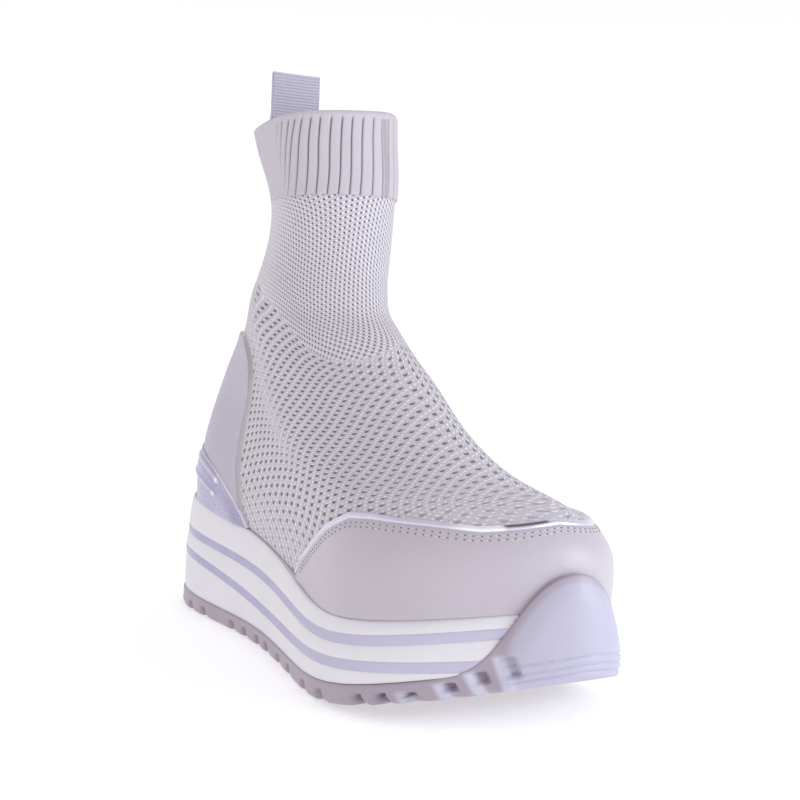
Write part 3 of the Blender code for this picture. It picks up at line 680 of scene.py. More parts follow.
def slab_solid(outer, inner):
    """Closed solid between two grids of the same shape."""
    rows, columns = outer.shape[:2]
    count = rows * columns
    quads = grid_faces(rows, columns, closed=False)[0]
    faces = quads.tolist() + (quads[:, ::-1] + count).tolist()
    border = list(range(columns))
    border += [r * columns + columns - 1 for r in range(1, rows)]
    border += [(rows - 1) * columns + c for c in range(columns - 2, -1, -1)]
    border += [r * columns for r in range(rows - 2, 0, -1)]
    for here, there in zip(border, border[1:] + border[:1]):
        faces.append((there, here, here + count, there + count))
    return np.concatenate([outer.reshape(-1, 3), inner.reshape(-1, 3)]), faces


def part_origin():
    """Shoe coordinates of the part's own origin."""
    outline_y = sole_outline(np.linspace(0, FULL_TURN, OUTLINE_SAMPLES))[:, 1]
    return np.array([(SOLE_BACK + SOLE_FRONT) / 2, (outline_y.min() + outline_y.max()) / 2, 0.0])


ORIGIN = part_origin()


def add_mesh(name, points, faces, materials):
    """Smooth mesh object with its points moved from shoe coordinates to the part's frame, in metres."""
    mesh = bpy.data.meshes.new(name)
    mesh.from_pydata(((points - ORIGIN) * MM).tolist(), [], faces)
    for material in materials:
        mesh.materials.append(material)
    mesh.shade_smooth()
    mesh.set_sharp_from_angle(angle=SHARP_ANGLE)
    thing = bpy.data.objects.new(name, mesh)
    bpy.context.collection.objects.link(thing)
    return thing


def add_piece(name, node, slot, points, faces, *materials):
    """Piece that stands for a node of the frame."""
    piece = add_mesh(name, points, faces, materials)
    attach(piece, "root")
    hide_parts(node)
    return piece


def set_share(piece, name, values):
    """Number kept at each point for the material, such as how open the knit is there."""
    layer = piece.data.attributes.new(name, "FLOAT", "POINT")
    layer.data.foreach_set("value", np.ascontiguousarray(values, dtype=np.float32).reshape(-1))


def set_cloth_map(piece, across, upward, corners):
    """Places on the opened-out cloth, in cells of its knit, kept at each face corner."""
    layer = piece.data.uv_layers.new(name="cloth")
    places = np.stack([across.reshape(-1), upward.reshape(-1)], axis=-1)[corners.reshape(-1)]
    layer.data.foreach_set("uv", places.astype(np.float32).reshape(-1))


def add_knit(name, points, counts, material, **shares):
    """Knit piece on a closed grid of points, with its cloth's places and the shares its material reads."""
    rows, columns = points.shape[:2]
    faces, corners = grid_faces(rows, columns - 1, closed=True)
    piece = add_piece(name, "upper", "knit", points[:, :-1].reshape(-1, 3), faces.tolist(), material)
    set_cloth_map(piece, *counts, corners)
    for share, values in shares.items():
        set_share(piece, share, np.broadcast_to(values, (rows, columns))[:, :-1])
    return piece


class Shader:
    """Principled material with short ways to add nodes to it."""

    def __init__(self, name, **sockets):
        self.material = bpy.data.materials.new(name)
        self.material.use_nodes = True
        self.tree = self.material.node_tree
        self.main = self.tree.nodes["Principled BSDF"]
        for socket, value in sockets.items():
            self.put(self.main.inputs[socket.replace("_", " ")], value)

    def put(self, socket, value):
        """Link an output to a socket, or set the socket's own value."""
        if isinstance(value, bpy.types.NodeSocket):
            self.tree.links.new(value, socket)
        elif isinstance(value, tuple) and len(value) == 3 and socket.type == "RGBA":
            socket.default_value = (*value, 1.0)
        else:
            socket.default_value = value

    def node(self, kind, inputs=(), **settings):
        made = self.tree.nodes.new(kind)
        for setting, value in settings.items():
            setattr(made, setting, value)
        for place, value in dict(inputs).items():
            self.put(made.inputs[place], value)
        return made

    def math(self, operation, first, second=0.0):
        return self.node("ShaderNodeMath", {0: first, 1: second}, operation=operation).outputs[0]

    def place(self):
        return self.node("ShaderNodeTexCoord").outputs["Object"]

    def share(self, name):
        return self.node("ShaderNodeAttribute", attribute_name=name).outputs["Fac"]

    def noise(self, scale, detail=2.0, roughness=0.5):
        inputs = {"Vector": self.place(), "Scale": scale, "Detail": detail, "Roughness": roughness}
        return self.node("ShaderNodeTexNoise", inputs).outputs["Fac"]

    def mix(self, share, first, second):
        made = self.node("ShaderNodeMix", {"Factor": share}, data_type="RGBA")
        self.put(made.inputs[6], first)
        self.put(made.inputs[7], second)
        return made.outputs[2]

    def remap(self, value, low, high, to_low=0.0, to_high=1.0, soft=False):
        inputs = {"Value": value, "From Min": low, "From Max": high, "To Min": to_low, "To Max": to_high}
        kind = "SMOOTHSTEP" if soft else "LINEAR"
        return self.node("ShaderNodeMapRange", inputs, interpolation_type=kind).outputs["Result"]

    def bump(self, height, distance):
        inputs = {"Height": height, "Distance": distance * MM, "Strength": 1.0}
        return self.node("ShaderNodeBump", inputs).outputs["Normal"]

    def colour(self, value):
        self.put(self.main.inputs["Base Color"], value)

    def roughness(self, value):
        self.put(self.main.inputs["Roughness"], value)

    def normal(self, value):
        self.put(self.main.inputs["Normal"], value)


def linear(red, green, blue):
    """Linear colour of an 8-bit display colour, by the sRGB curve."""
    shares = np.array([red, green, blue]) / 255.0
    straight = shares / 12.92
    curved = ((shares + 0.055) / 1.055) ** 2.4
    return tuple(float(v) for v in np.where(shares <= 0.04045, straight, curved))


def lattice_counts(across, upward, first, second):
    """Counts of two lattice steps that lead to a place on the cloth."""
    scale = first[0] * second[1] - first[1] * second[0]
    return (across * second[1] - upward * second[0]) / scale, (upward * first[0] - across * first[1]) / scale


def lattice_offset(first_count, second_count, first, second, lean):
    """Millimetres off the middle of the nearest cell."""
    u = np.mod(first_count, 1) - 0.5
    v = np.mod(second_count, 1) - 0.5
    y = u * first[1] + v * second[1]
    return u * first[0] + v * second[0] - lean * y, y


def cell_places(shader, first, second, parts=1.0, shift=0.0):
    """Millimetres off the middle of a lattice cell, or of its equal parts."""
    cloth = shader.node("ShaderNodeUVMap", uv_map="cloth").outputs["UV"]
    split = shader.node("ShaderNodeSeparateXYZ", {0: cloth})
    offsets = []
    for way in (0, 1):
        count = shader.math("ADD", shader.math("MULTIPLY", split.outputs[way], parts), shift)
        offsets.append(shader.math("SUBTRACT", shader.math("FRACT", count), 0.5))
    places = []
    for way in (0, 1):
        along_first = shader.math("MULTIPLY", offsets[0], first[way] / parts)
        along_second = shader.math("MULTIPLY", offsets[1], second[way] / parts)
        places.append(shader.math("ADD", along_first, along_second))
    leaning = shader.math("MULTIPLY", places[1], shader.share("lean"))
    return shader.math("SUBTRACT", places[0], leaning), places[1]


def turned(shader, x, y, angle):
    """Place along and beside a slanted line."""
    cosine, sine = shader.math("COSINE", angle), shader.math("SINE", angle)
    along = shader.math("ADD", shader.math("MULTIPLY", x, cosine), shader.math("MULTIPLY", y, sine))
    side = shader.math("SUBTRACT", shader.math("MULTIPLY", y, cosine), shader.math("MULTIPLY", x, sine))
    return along, side


def stitches(shader, first, second, parts, shift, size, angle):
    """Light slanted stitch in each part of a cell, from 0 to 1."""
    along, side = turned(shader, *cell_places(shader, first, second, parts, shift), angle)
    far = shader.math("POWER", shader.math("DIVIDE", along, size[0]), 2.0)
    wide = shader.math("POWER", shader.math("DIVIDE", side, size[1]), 2.0)
    return shader.remap(shader.math("ADD", far, wide), 0.0, STITCH_SOFT, 1.0, 0.0, soft=True)


def even_stitches(shader):
    """Small even stitches for the back, laid out by place alone, from 0 to 1."""
    split = shader.node("ShaderNodeSeparateXYZ", {0: shader.place()})
    side = shader.math("SINE", shader.math("MULTIPLY", split.outputs[1], FULL_TURN / EVEN_STITCH[0]))
    rise = shader.math("SINE", shader.math("MULTIPLY", split.outputs[2], FULL_TURN / EVEN_STITCH[1]))
    return shader.remap(shader.math("MULTIPLY", side, rise), 0.0, 1.0, 0.0, 1.0, soft=True)


def with_even_back(shader, stitch):
    """Stitches of the front and sides, passing into even ones at the back."""
    even = shader.share("even")
    kept = shader.math("MULTIPLY", stitch, shader.math("SUBTRACT", 1.0, even))
    return shader.math("ADD", kept, shader.math("MULTIPLY", even_stitches(shader), even))


def finish_knit(knit, hole, stitch, grain, stitch_share, darkest, fibre_rise, depth):
    """Colour and relief of a knit from its holes, stitches and loose fibres, with painted shade in the holes.
    """
    hole = knit.math("MULTIPLY", hole, knit.share("open"))
    loose = knit.math("MULTIPLY", knit.noise(grain, 3.0, 0.6), LOOSE_SHARE)
    fibre = knit.math("ADD", loose, knit.math("MULTIPLY", with_even_back(knit, stitch), stitch_share))
    cloth = knit.mix(knit.remap(fibre, darkest, LIGHTEST), linear(*KNIT_DARK), linear(*KNIT_LIGHT))
    # Painted shade in the knit's holes.
    knit.colour(knit.mix(hole, cloth, linear(*KNIT_HOLE_SHADE)))
    pit = knit.math("SUBTRACT", knit.math("MULTIPLY", fibre, fibre_rise), hole)
    knit.normal(knit.bump(pit, depth))
    return knit.material


def foot_knit():
    """Open knit: a slanted drop-shaped hole in each cell, with short light stitches between the holes."""
    knit = Shader("foot_knit", Roughness=0.85)
    along, side = turned(knit, *cell_places(knit, FOOT_FIRST, FOOT_SECOND), knit.share("slant"))
    long, middle = FOOT_HOLE
    half = knit.remap(along, -long, long, middle * FOOT_HOLE_TAPER[0], middle * FOOT_HOLE_TAPER[1])
    far = knit.math("POWER", knit.math("DIVIDE", along, long), 2.0)
    wide = knit.math("POWER", knit.math("DIVIDE", side, half), 2.0)
    hole = knit.remap(knit.math("ADD", far, wide), *FOOT_HOLE_SOFT, 1.0, 0.0, soft=True)
    hole = knit.math("MULTIPLY", hole, knit.remap(along, -long, long, 1.0, FOOT_HOLE_FAINT))
    stitch = stitches(knit, FOOT_FIRST, FOOT_SECOND, FOOT_STITCHES, 0.0, FOOT_STITCH, FOOT_STITCH_SLANT)
    return finish_knit(knit, hole, stitch, grain=1900.0, stitch_share=0.5,
                       darkest=0.2, fibre_rise=0.6, depth=0.55)


def shaft_knit():
    """Fine knit: small round holes in slanted rows, with short light stitches between them."""
    knit = Shader("shaft_knit", Roughness=0.85)
    x, y = cell_places(knit, SHAFT_FIRST, SHAFT_SECOND)
    far = knit.math("SQRT", knit.math("ADD", knit.math("POWER", x, 2.0), knit.math("POWER", y, 2.0)))
    core, rim = [SHAFT_HOLE * share for share in SHAFT_HOLE_SOFT]
    hole = knit.remap(far, core, rim, 1.0, 0.0, soft=True)
    stitch = stitches(knit, SHAFT_FIRST, SHAFT_SECOND, SHAFT_STITCHES, 0.5, SHAFT_STITCH, SHAFT_STITCH_SLANT)
    return finish_knit(knit, hole, stitch, grain=2300.0, stitch_share=0.4,
                       darkest=0.15, fibre_rise=0.5, depth=0.4)


def cuff_knit():
    """Ribbed knit: narrow grooves with painted shade between ribs of small slanted stitches."""
    knit = Shader("cuff_knit", Roughness=0.85)
    cloth = knit.node("ShaderNodeUVMap", uv_map="cloth").outputs["UV"]
    split = knit.node("ShaderNodeSeparateXYZ", {0: cloth})
    stitch = knit.math("ABSOLUTE", knit.math("SUBTRACT", knit.math("FRACT", split.outputs[0]), 0.5))
    chevron = knit.math("ADD", split.outputs[1], knit.math("MULTIPLY", stitch, CUFF_CHEVRON))
    wave = knit.math("SINE", knit.math("MULTIPLY", chevron, FULL_TURN / CUFF_STITCH[1]))
    fibre = knit.math("ADD", knit.math("MULTIPLY", wave, 0.22), knit.noise(2200.0, 3.0, 0.6))
    body = knit.mix(knit.remap(fibre, 0.15, 0.95), linear(188, 180, 190), linear(228, 222, 231))
    # Painted shade in the grooves and the back seam.
    knit.colour(knit.mix(knit.share("groove"), body, linear(130, 122, 130)))
    knit.normal(knit.bump(fibre, 0.28))
    return knit.material


def lining_cloth():
    """Plain close knit inside the boot."""
    cloth = Shader("lining_cloth", Roughness=0.9)
    tone = cloth.noise(1500.0, 3.0, 0.6)
    cloth.colour(cloth.mix(tone, linear(176, 170, 180), linear(206, 201, 211)))
    cloth.normal(cloth.bump(tone, 0.3))
    return cloth.material


def leather(name, dark, light, edge=None):
    """Smooth coated leather with a faint grain; its cut edge shows where the piece ends."""
    skin = Shader(name, Roughness=0.42)
    skin.main.inputs["Coat Weight"].default_value = 0.12
    skin.main.inputs["Coat Roughness"].default_value = 0.3
    cloud = skin.noise(38.0, 3.0, 0.55)
    colour = skin.mix(skin.remap(cloud, 0.2, 0.8), dark, light)
    if edge is not None:
        colour = skin.mix(skin.share("cut"), colour, edge)
    skin.colour(colour)
    cells = {"Vector": skin.place(), "Scale": 950.0}
    grain = skin.node("ShaderNodeTexVoronoi", cells, feature="SMOOTH_F1").outputs["Distance"]
    skin.roughness(skin.remap(skin.noise(420.0), 0.3, 0.7, 0.36, 0.5))
    skin.normal(skin.bump(grain, 0.06))
    return skin.material


def foil(name, dark, light, roughness, metallic, painted_highlight=None, dim=None):
    """Metallic lilac film with a fine shimmer; a painted highlight pales it and a painted dark reflection
    darkens it where the piece's shares say so.
    """
    film = Shader(name, Metallic=metallic)
    cloud = film.noise(60.0, 3.0, 0.6)
    colour = film.mix(film.remap(cloud, 0.3, 0.7), dark, light)
    # Painted highlight: the colour paled towards a glint colour by the piece's share.
    if painted_highlight is not None:
        colour = film.mix(film.share("painted_highlight"), colour, painted_highlight)
    # Painted reflection: the colour darkened by the piece's share, as a dark mirrored band.
    if dim is not None:
        colour = film.mix(film.share("dim"), colour, dim)
    film.colour(colour)
    speck = film.noise(2600.0, 1.0)
    film.roughness(film.remap(speck, 0.3, 0.7, roughness - 0.06, roughness + 0.06))
    film.normal(film.bump(speck, 0.006))
    return film.material


def foam():
    """Moulded white foam with a faint matte skin."""
    skin = Shader("foam_skin", Roughness=0.5)
    cloud = skin.noise(30.0, 3.0, 0.6)
    skin.colour(skin.mix(skin.remap(cloud, 0.2, 0.8), linear(218, 215, 221), linear(225, 222, 228)))
    speck = skin.noise(1400.0, 2.0)
    skin.roughness(skin.remap(speck, 0.3, 0.7, 0.42, 0.56))
    skin.normal(skin.bump(speck, 0.05))
    return skin.material


def rubber():
    """Satin taupe rubber: lilac on the bumper's front as painted cool light, a painted highlight beside the
    front notches and painted shade in them.
    """
    skin = Shader("tread_rubber", Roughness=0.45)
    cloud = skin.noise(34.0, 3.0, 0.6)
    body = skin.mix(skin.remap(cloud, 0.2, 0.8), linear(158, 145, 158), linear(168, 156, 169))
    # Lilac on the bumper's front: painted cool light from the front right.
    lilac = skin.mix(skin.share("bumper"), body, linear(180, 176, 196))
    # Painted highlight on the notches' lit flanks.
    lit = skin.mix(skin.share("flank_painted_highlight"), lilac, linear(196, 193, 212))
    # Painted shade in the notches.
    skin.colour(skin.mix(skin.share("notch"), lit, linear(112, 100, 116)))
    speck = skin.noise(900.0, 2.0)
    skin.roughness(skin.remap(speck, 0.3, 0.7, 0.34, 0.46))
    skin.normal(skin.bump(speck, 0.05))
    return skin.material


def webbing():
    """Ribbed woven tape with a soft sheen, and painted shade in the valleys between its ribs."""
    tape = Shader("webbing_tape", Roughness=0.7)
    weave = tape.noise(1700.0, 3.0, 0.6)
    body = tape.mix(tape.remap(weave, 0.25, 0.75), linear(187, 182, 203), linear(215, 211, 230))
    # Painted shade in the valleys between the ribs.
    tape.colour(tape.mix(tape.math("MULTIPLY", tape.share("rib_valley_shade"), 0.6), body, linear(152, 146, 168)))
    tape.normal(tape.bump(weave, 0.12))
    return tape.material


def thread():
    """Sewing thread with a twist too fine to see."""
    yarn = Shader("sewing_thread", Roughness=0.6)
    twist = yarn.noise(3000.0, 2.0)
    yarn.colour(yarn.mix(twist, linear(182, 172, 180), linear(214, 205, 212)))
    return yarn.material


def needle_hole_shade():
    """Painted shade of a pricked hole between two stitches: a dark bead stands in for the hole's shadow."""
    hole = Shader("needle_hole_shade", Roughness=0.9)
    shade = hole.noise(2000.0, 2.0)
    hole.colour(hole.mix(shade, linear(70, 62, 68), linear(104, 94, 100)))
    return hole.material


def footbed_cloth():
    """Woven footbed cover."""
    cloth = Shader("footbed_cloth", Roughness=0.9)
    weave = cloth.noise(1200.0, 3.0, 0.6)
    cloth.colour(cloth.mix(weave, linear(186, 181, 190), linear(214, 210, 218)))
    cloth.normal(cloth.bump(weave, 0.25))
    return cloth.material


def outline_place(turn):
    """Length along the outline from the heel's back, the same on both sides for the same turn."""
    turns, lengths = outline_lengths()
    around = np.mod(turn, FULL_TURN)
    return np.interp(np.minimum(around, FULL_TURN - around), turns, lengths)


def notch_depth(place, rise):
    """Depth of a place in the tread's notches, crisp only on their toe side, and a painted highlight on the
    side of each that faces the light.
    """
    depth = np.zeros(np.broadcast(place, rise).shape)
    flank_painted_highlight = np.zeros_like(depth)
    tables = (NOTCH_TOP, NOTCH_FOOT, NOTCH_SLANT, NOTCH_DEEP, NOTCH_FLANK_HIGHLIGHT)
    for middle in NOTCHES:
        top, foot, slant, deep, flank_highlight = [np.interp(middle, NOTCH_AT, table) for table in tables]
        across = (place - middle - slant * ((top + np.maximum(foot, 0)) / 2 - rise)) / NOTCH_HALF
        sides = soft_step(*NOTCH_SOFT_SIDE, across) * soft_step(*NOTCH_CRISP_SIDE, across)
        upper_end = soft_step(top, top - NOTCH_TOP_SOFT, rise + NOTCH_ARCH * across ** 2)
        lower_end = soft_step(foot, foot + NOTCH_FOOT_SOFT, rise)
        depth = np.maximum(depth, deep * sides * upper_end * lower_end)
        # Painted highlight on the flank that faces the light.
        lit = soft_step(*FLANK_START, across) * soft_step(*FLANK_END, across)
        lit = lit * soft_step(top + FLANK_TOP_SOFT, top - FLANK_TOP_SOFT, rise)
        flank_painted_highlight = np.maximum(flank_painted_highlight, lit * flank_highlight)
    return depth, flank_painted_highlight


def tooth_lift(place):
    """Rise of the tread's lower edge: open under each notch, then round to the next tooth's flat."""
    lift = np.zeros_like(place)
    for middle in NOTCHES:
        start = middle + NOTCH_HALF
        rising = soft_step(middle - NOTCH_HALF, start - TOOTH_SOFT, place)
        corner = np.clip((place - start) / TOOTH_CORNER, 0, 1)
        tooth = np.where(place < start, 1.0, 1 - np.sqrt(1 - (1 - corner) ** 2))
        lift = np.maximum(lift, rising * tooth * np.interp(middle, NOTCH_AT, NOTCH_LIFT))
    return lift


def below_edge(turn, height):
    """Distance down from the bumper's upper edge, square to that edge."""
    away = bumper_distance(turn)
    ahead = smooth(BUMPER_REACH, BUMPER_EDGE, away + SLOPE_STEP)
    slope = (ahead - smooth(BUMPER_REACH, BUMPER_EDGE, away - SLOPE_STEP)) / (2 * SLOPE_STEP)
    return (bumper_edge(turn) - height) / np.sqrt(1 + slope ** 2)


def bumper_wall(turn, height):
    """Inset of the outsole's side: the bumper swells out over the toe between rounded flanks."""
    place = sole_outline(turn)[..., 0]
    bottom = tread_bottom(place)
    near = soft_step(BUMPER_FLANK[1], BUMPER_FLANK[0], bumper_distance(turn))
    above = np.clip(height - sole_line(PLATE_TOP, place), 0, BUMPER_RISE[-1])
    inset = smooth(BUMPER_RISE, BUMPER_OUTER, above)
    short = 1 - np.clip(below_edge(turn, height) / BUMPER_SHOULDER, 0, 1)
    under = np.clip(1 - (height - bottom) / BUMPER_UNDER, 0, 1)
    inset = inset - BUMPER_BULGE * near * (1 - short ** BUMPER_POWER) * (1 - BUMPER_TUCK * under ** 2)
    for line in BUMPER_LINES:
        off = (height - bottom - line) / BUMPER_LINE_HALF
        inset = inset + near * BUMPER_LINE_DEPTH * np.exp(-off ** 2)
    return inset + NOTCH_IN * notch_depth(outline_place(turn), height - bottom)[0]


def make_outsole(material):
    """Toothed tread, turned up over the toe as the bumper, with a rounded rim and moulded lines."""
    turn = sole_turns(SOLE_COLUMNS)
    x = sole_outline(turn)[:, 0]
    edge = bumper_edge(turn)
    bottom = tread_bottom(x)
    lift = tooth_lift(outline_place(turn))
    low = bottom + EDGE_ROUND + lift
    rim = np.clip((edge - low) / BUMPER_RIM_PARTS, *BUMPER_RIM)
    inside = bumper_wall(turn, low) + EDGE_ROUND
    loops = [
        ring_points(turn, NOTCH_INSET, tread_bottom),
        ring_points(turn, (NOTCH_INSET + inside) / 2, lambda px: tread_bottom(px) + lift * TOOTH_LIFT_INSIDE),
    ]
    for angle in np.linspace(0.0, np.pi / 2, EDGE_STEPS):
        height = low - EDGE_ROUND * np.cos(angle)
        loops.append(ring_points(turn, inside - EDGE_ROUND * np.sin(angle), height))
    for step in np.linspace(0.0, 1.0, BUMPER_ROWS)[1:] ** BUMPER_CROWDING:
        height = low + (edge - rim - low) * step
        loops.append(ring_points(turn, bumper_wall(turn, height), height))
    plate = sole_line(PLATE_TOP, x)
    outer = bumper_wall(turn, edge - rim)
    inner = smooth(BUMPER_RISE, BUMPER_INNER, np.clip(edge - plate, 0, BUMPER_RISE[-1]))
    inner = np.maximum(inner, outer + BUMPER_RIM_WIDE)
    for angle in np.linspace(0.0, np.pi / 2, BUMPER_RIM_STEPS)[1:]:
        inset = outer + (inner - outer) / 2 * (1 - np.cos(angle))
        loops.append(ring_points(turn, inset, edge - rim + rim * np.sin(angle)))
    lip = edge - rim / 2
    behind = inner + BUMPER_BEHIND * soft_step(0.0, BUMPER_BACK_RISE, edge - plate)
    loops.append(ring_points(turn, inner, lip))
    loops.append(ring_points(turn, behind, np.minimum(lip, np.maximum(plate, lip - BUMPER_BACK_DROP))))
    loops.append(ring_points(turn, behind, np.minimum(lip, plate)))
    points, faces = stacked_solid(loops)
    piece = add_piece("outsole_tread", "outsole", "rubber", points, faces, material)
    height = np.stack([loop[:, 2] for loop in loops])
    depth, flank_painted_highlight = notch_depth(outline_place(turn)[None, :], height - bottom)
    # Painted shade in the notches, stronger where they are deeper.
    set_share(piece, "notch", soft_step(*NOTCH_SHADE, depth))
    # Painted highlight on the flank beside each notch.
    set_share(piece, "flank_painted_highlight", flank_painted_highlight * soft_step(*FLANK_FADE, depth))
    # Lilac tint on the bumper's front: painted cool light.
    front = soft_step(BUMPER_FLANK[1], BUMPER_FLANK[0], bumper_distance(turn))
    face = soft_step(*BUMPER_BAND, np.stack([below_edge(turn, row) for row in height]))
    set_share(piece, "bumper", front * face)
    return piece


def make_midsole(material):
    """White platform: three rounded bands with two grooves between them."""
    turn = sole_turns(MIDSOLE_COLUMNS)
    x = sole_outline(turn)[:, 0]
    seat = sole_line(PLATE_TOP, x) + SEAT_GAP
    lower = sole_line(LOWER_STRIPE, x)
    upper = sole_line(UPPER_STRIPE, x)
    top = sole_line(MIDSOLE_TOP, x)
    bands = [
        (seat, lower - GROOVE_HALF, LOWER_INSET, LOWER_INSET, STRIPE_LIP),
        (lower + GROOVE_HALF, upper - GROOVE_HALF, LOWER_INSET, UPPER_INSET, STRIPE_LIP),
        (upper + GROOVE_HALF, top, UPPER_INSET, RIM_INSET, BAND_LIP),
    ]

    def wall(inset, height):
        hidden = MIDSOLE_HIDDEN * soft_step(*MIDSOLE_HIDING, bumper_edge(turn) - height)
        return ring_points(turn, inset + hidden, height)

    loops = [ring_points(turn, MIDSOLE_FLOOR_INSET, lambda px: sole_line(PLATE_TOP, px) + SEAT_GAP)]
    floor = seat - LEAST_STEP
    for low, high, low_inset, high_inset, high_lip in bands:
        depth = np.full_like(turn, low_inset + GROOVE_DEPTH)
        floor = np.maximum(low, floor + LEAST_STEP)
        loops.append(wall(depth, floor))
        for share in np.linspace(0.0, 1.0, BAND_ROWS):
            height = np.maximum(low + (high - low) * share, floor + LEAST_STEP)
            inset = low_inset + (high_inset - low_inset) * share - BAND_SWELL * np.sin(np.pi * share)
            inset = inset + STRIPE_LIP * (1 - edge_roll(height - low, BAND_ROUND))
            inset = inset + high_lip * (1 - edge_roll(high - height, BAND_ROUND))
            loops.append(wall(inset, height))
            floor = height
        depth = np.full_like(turn, high_inset + GROOVE_DEPTH)
        floor = floor + LEAST_STEP
        if high is not top:
            loops.append(wall(depth, floor))
    loops.append(ring_points(turn, RIM_INSET + BAND_LIP + RIM_ROUND, lambda px: sole_line(MIDSOLE_TOP, px)))
    loops.append(ring_points(turn, MIDSOLE_FLOOR_INSET, lambda px: sole_line(MIDSOLE_TOP, px)))
    points, faces = stacked_solid(loops)
    return add_piece("midsole_platform", "midsole", "foam", points, faces, material)


def make_stripe(name, heights, inset, material):
    """Band let into a groove, running in behind the bumper at both ends; its colour carries a painted
    highlight towards the front.
    """
    turn = sole_turns(MIDSOLE_COLUMNS)
    turn = np.sort(np.where(turn > FULL_TURN / 2, turn - FULL_TURN, turn))
    line = sole_line(heights, sole_outline(turn)[:, 0])
    turn = turn[bumper_edge(turn) < line + GROOVE_HALF + STRIPE_TUCK]
    line = sole_line(heights, sole_outline(turn)[:, 0])
    outer = []
    inner = []
    for share in np.linspace(-1.0, 1.0, STRIPE_ROWS):
        height = line + share * GROOVE_HALF
        swell = STRIPE_PROUD * np.sqrt(1 - (share * STRIPE_FLAT) ** 2)
        outer.append(ring_points(turn, inset + STRIPE_SUNK - swell, height))
        inner.append(ring_points(turn, inset + GROOVE_DEPTH, height))
    points, faces = slab_solid(np.stack(outer), np.stack(inner))
    piece = add_piece(name + "_band", name, "stripe_foil", points, faces, material)
    # Painted highlight, growing towards the front of the stripe.
    painted_highlight = soft_step(*STRIPE_PAINTED_HIGHLIGHT, sole_outline(turn)[:, 0])
    set_share(piece, "painted_highlight", np.broadcast_to(painted_highlight, (2 * STRIPE_ROWS, len(turn))))
    return piece


def make_insole(material):
    """Footbed plate inside the upper."""
    turn = upper_turns(0.0, INSOLE_COLUMNS)[:-1]
    foot = upper_offset(turn, 0.0, -WALL - INSOLE_GAP)
    middle = foot.mean(axis=0)
    loops = []
    for share, lift in INSOLE_EDGE:
        ring = foot.copy()
        ring[:, :2] = middle[:2] + (foot[:, :2] - middle[:2]) * share
        ring[:, 2] = sole_line(MIDSOLE_TOP, ring[:, 0]) + GAP + lift
        loops.append(ring)
    points, faces = stacked_solid(loops)
    return add_piece("insole_footbed", "insole", "footbed", points, faces, material)


def knit_border(turn):
    """Level where the open knit ends."""
    return smooth(KNIT_BORDER_TURN, KNIT_BORDER_LEVEL, np.degrees(turn))


def spread(steps_across, steps_up, weights, held):
    """Field on a grid whose steps come nearest to the wanted ones, with its last row held near zero."""
    across_weight, up_weight = weights

    def gather(across, up):
        total = np.zeros((across.shape[0], up.shape[1]))
        total[:, :-1] -= across_weight * across
        total[:, 1:] += across_weight * across
        total[:-1] -= up_weight * up
        total[1:] += up_weight * up
        return total

    def pull(field):
        total = gather(np.diff(field, axis=1), np.diff(field, axis=0))
        total[-1] += held * field[-1]
        return total

    rest = gather(steps_across, steps_up)
    field = np.zeros_like(rest)
    way = rest.copy()
    size = np.sum(rest * rest)
    for _ in range(FIT_ROUNDS):
        pulled = pull(way)
        share = size / np.sum(way * pulled)
        field += share * way
        rest -= share * pulled
        grown = np.sum(rest * rest)
        way = rest + way * grown / size
        size = grown
    return field


def cloth_places(turn, border, foot, hold, rows, worn):
    """Distances across and up the cloth between two levels, laid out with the least stretch, and its lean."""
    few = np.linspace(0, len(turn) - 1, FIT_COLUMNS).round().astype(int)
    share = np.linspace(0.0, 1.0, FIT_ROWS)[:, None]
    level = foot[few] + share * (border[few] - foot[few])
    around, upward = upper_slopes(np.broadcast_to(turn[few], level.shape), level)
    outward = unit(np.cross(around, upward))
    row = unit(np.cross(np.array(ROW_AXIS), outward))
    rise = np.cross(outward, row)
    if worn:
        tilt = np.radians(np.interp(np.degrees(turn[few]), CLOTH_TURN, CLOTH_TILT))[None, :, None]
        row, rise = row * np.cos(tilt) + rise * np.sin(tilt), rise * np.cos(tilt) - row * np.sin(tilt)
        wide = np.interp(np.degrees(turn[few]), CLOTH_TURN, CLOTH_WIDE)
        tall = np.interp(np.degrees(turn[few]), CLOTH_TURN, CLOTH_TALL)
    else:
        wide = np.ones(FIT_COLUMNS)
        tall = np.ones(FIT_COLUMNS)
    points = upper_point(turn[few], level)
    fields = []
    ways = ((row, wide, (1.0, FIT_SHEAR), SMALL_STEP), (rise, tall, (FIT_BEND, 1.0), hold))
    for axis, size, weights, held in ways:
        across_step = np.sum(np.diff(points, axis=1) * (axis[:, 1:] + axis[:, :-1]) / 2, axis=-1)
        up_step = np.sum(np.diff(points, axis=0) * (axis[1:] + axis[:-1]) / 2, axis=-1)
        fields.append(spread(across_step / size[1:], up_step / size, weights, held))
    step = np.diff(points, axis=0)
    beyond = np.diff(fields[0], axis=0) - np.sum(step * (row[1:] + row[:-1]) / 2, axis=-1)
    lean = beyond / np.sum(step * (rise[1:] + rise[:-1]) / 2, axis=-1)
    fields.append(np.concatenate([lean[:1], (lean[1:] + lean[:-1]) / 2, lean[-1:]]))
    full = [np.stack([np.interp(turn, turn[few], line) for line in field]) for field in fields]
    return [finer(field, rows) for field in full]


def finer(field, rows):
    """Field of the coarse rows read at more rows."""
    place = np.linspace(0, len(field) - 1, rows)
    low = np.minimum(place.astype(int), len(field) - 2)
    part = (place - low)[:, None]
    return field[low] * (1 - part) + field[low + 1] * part


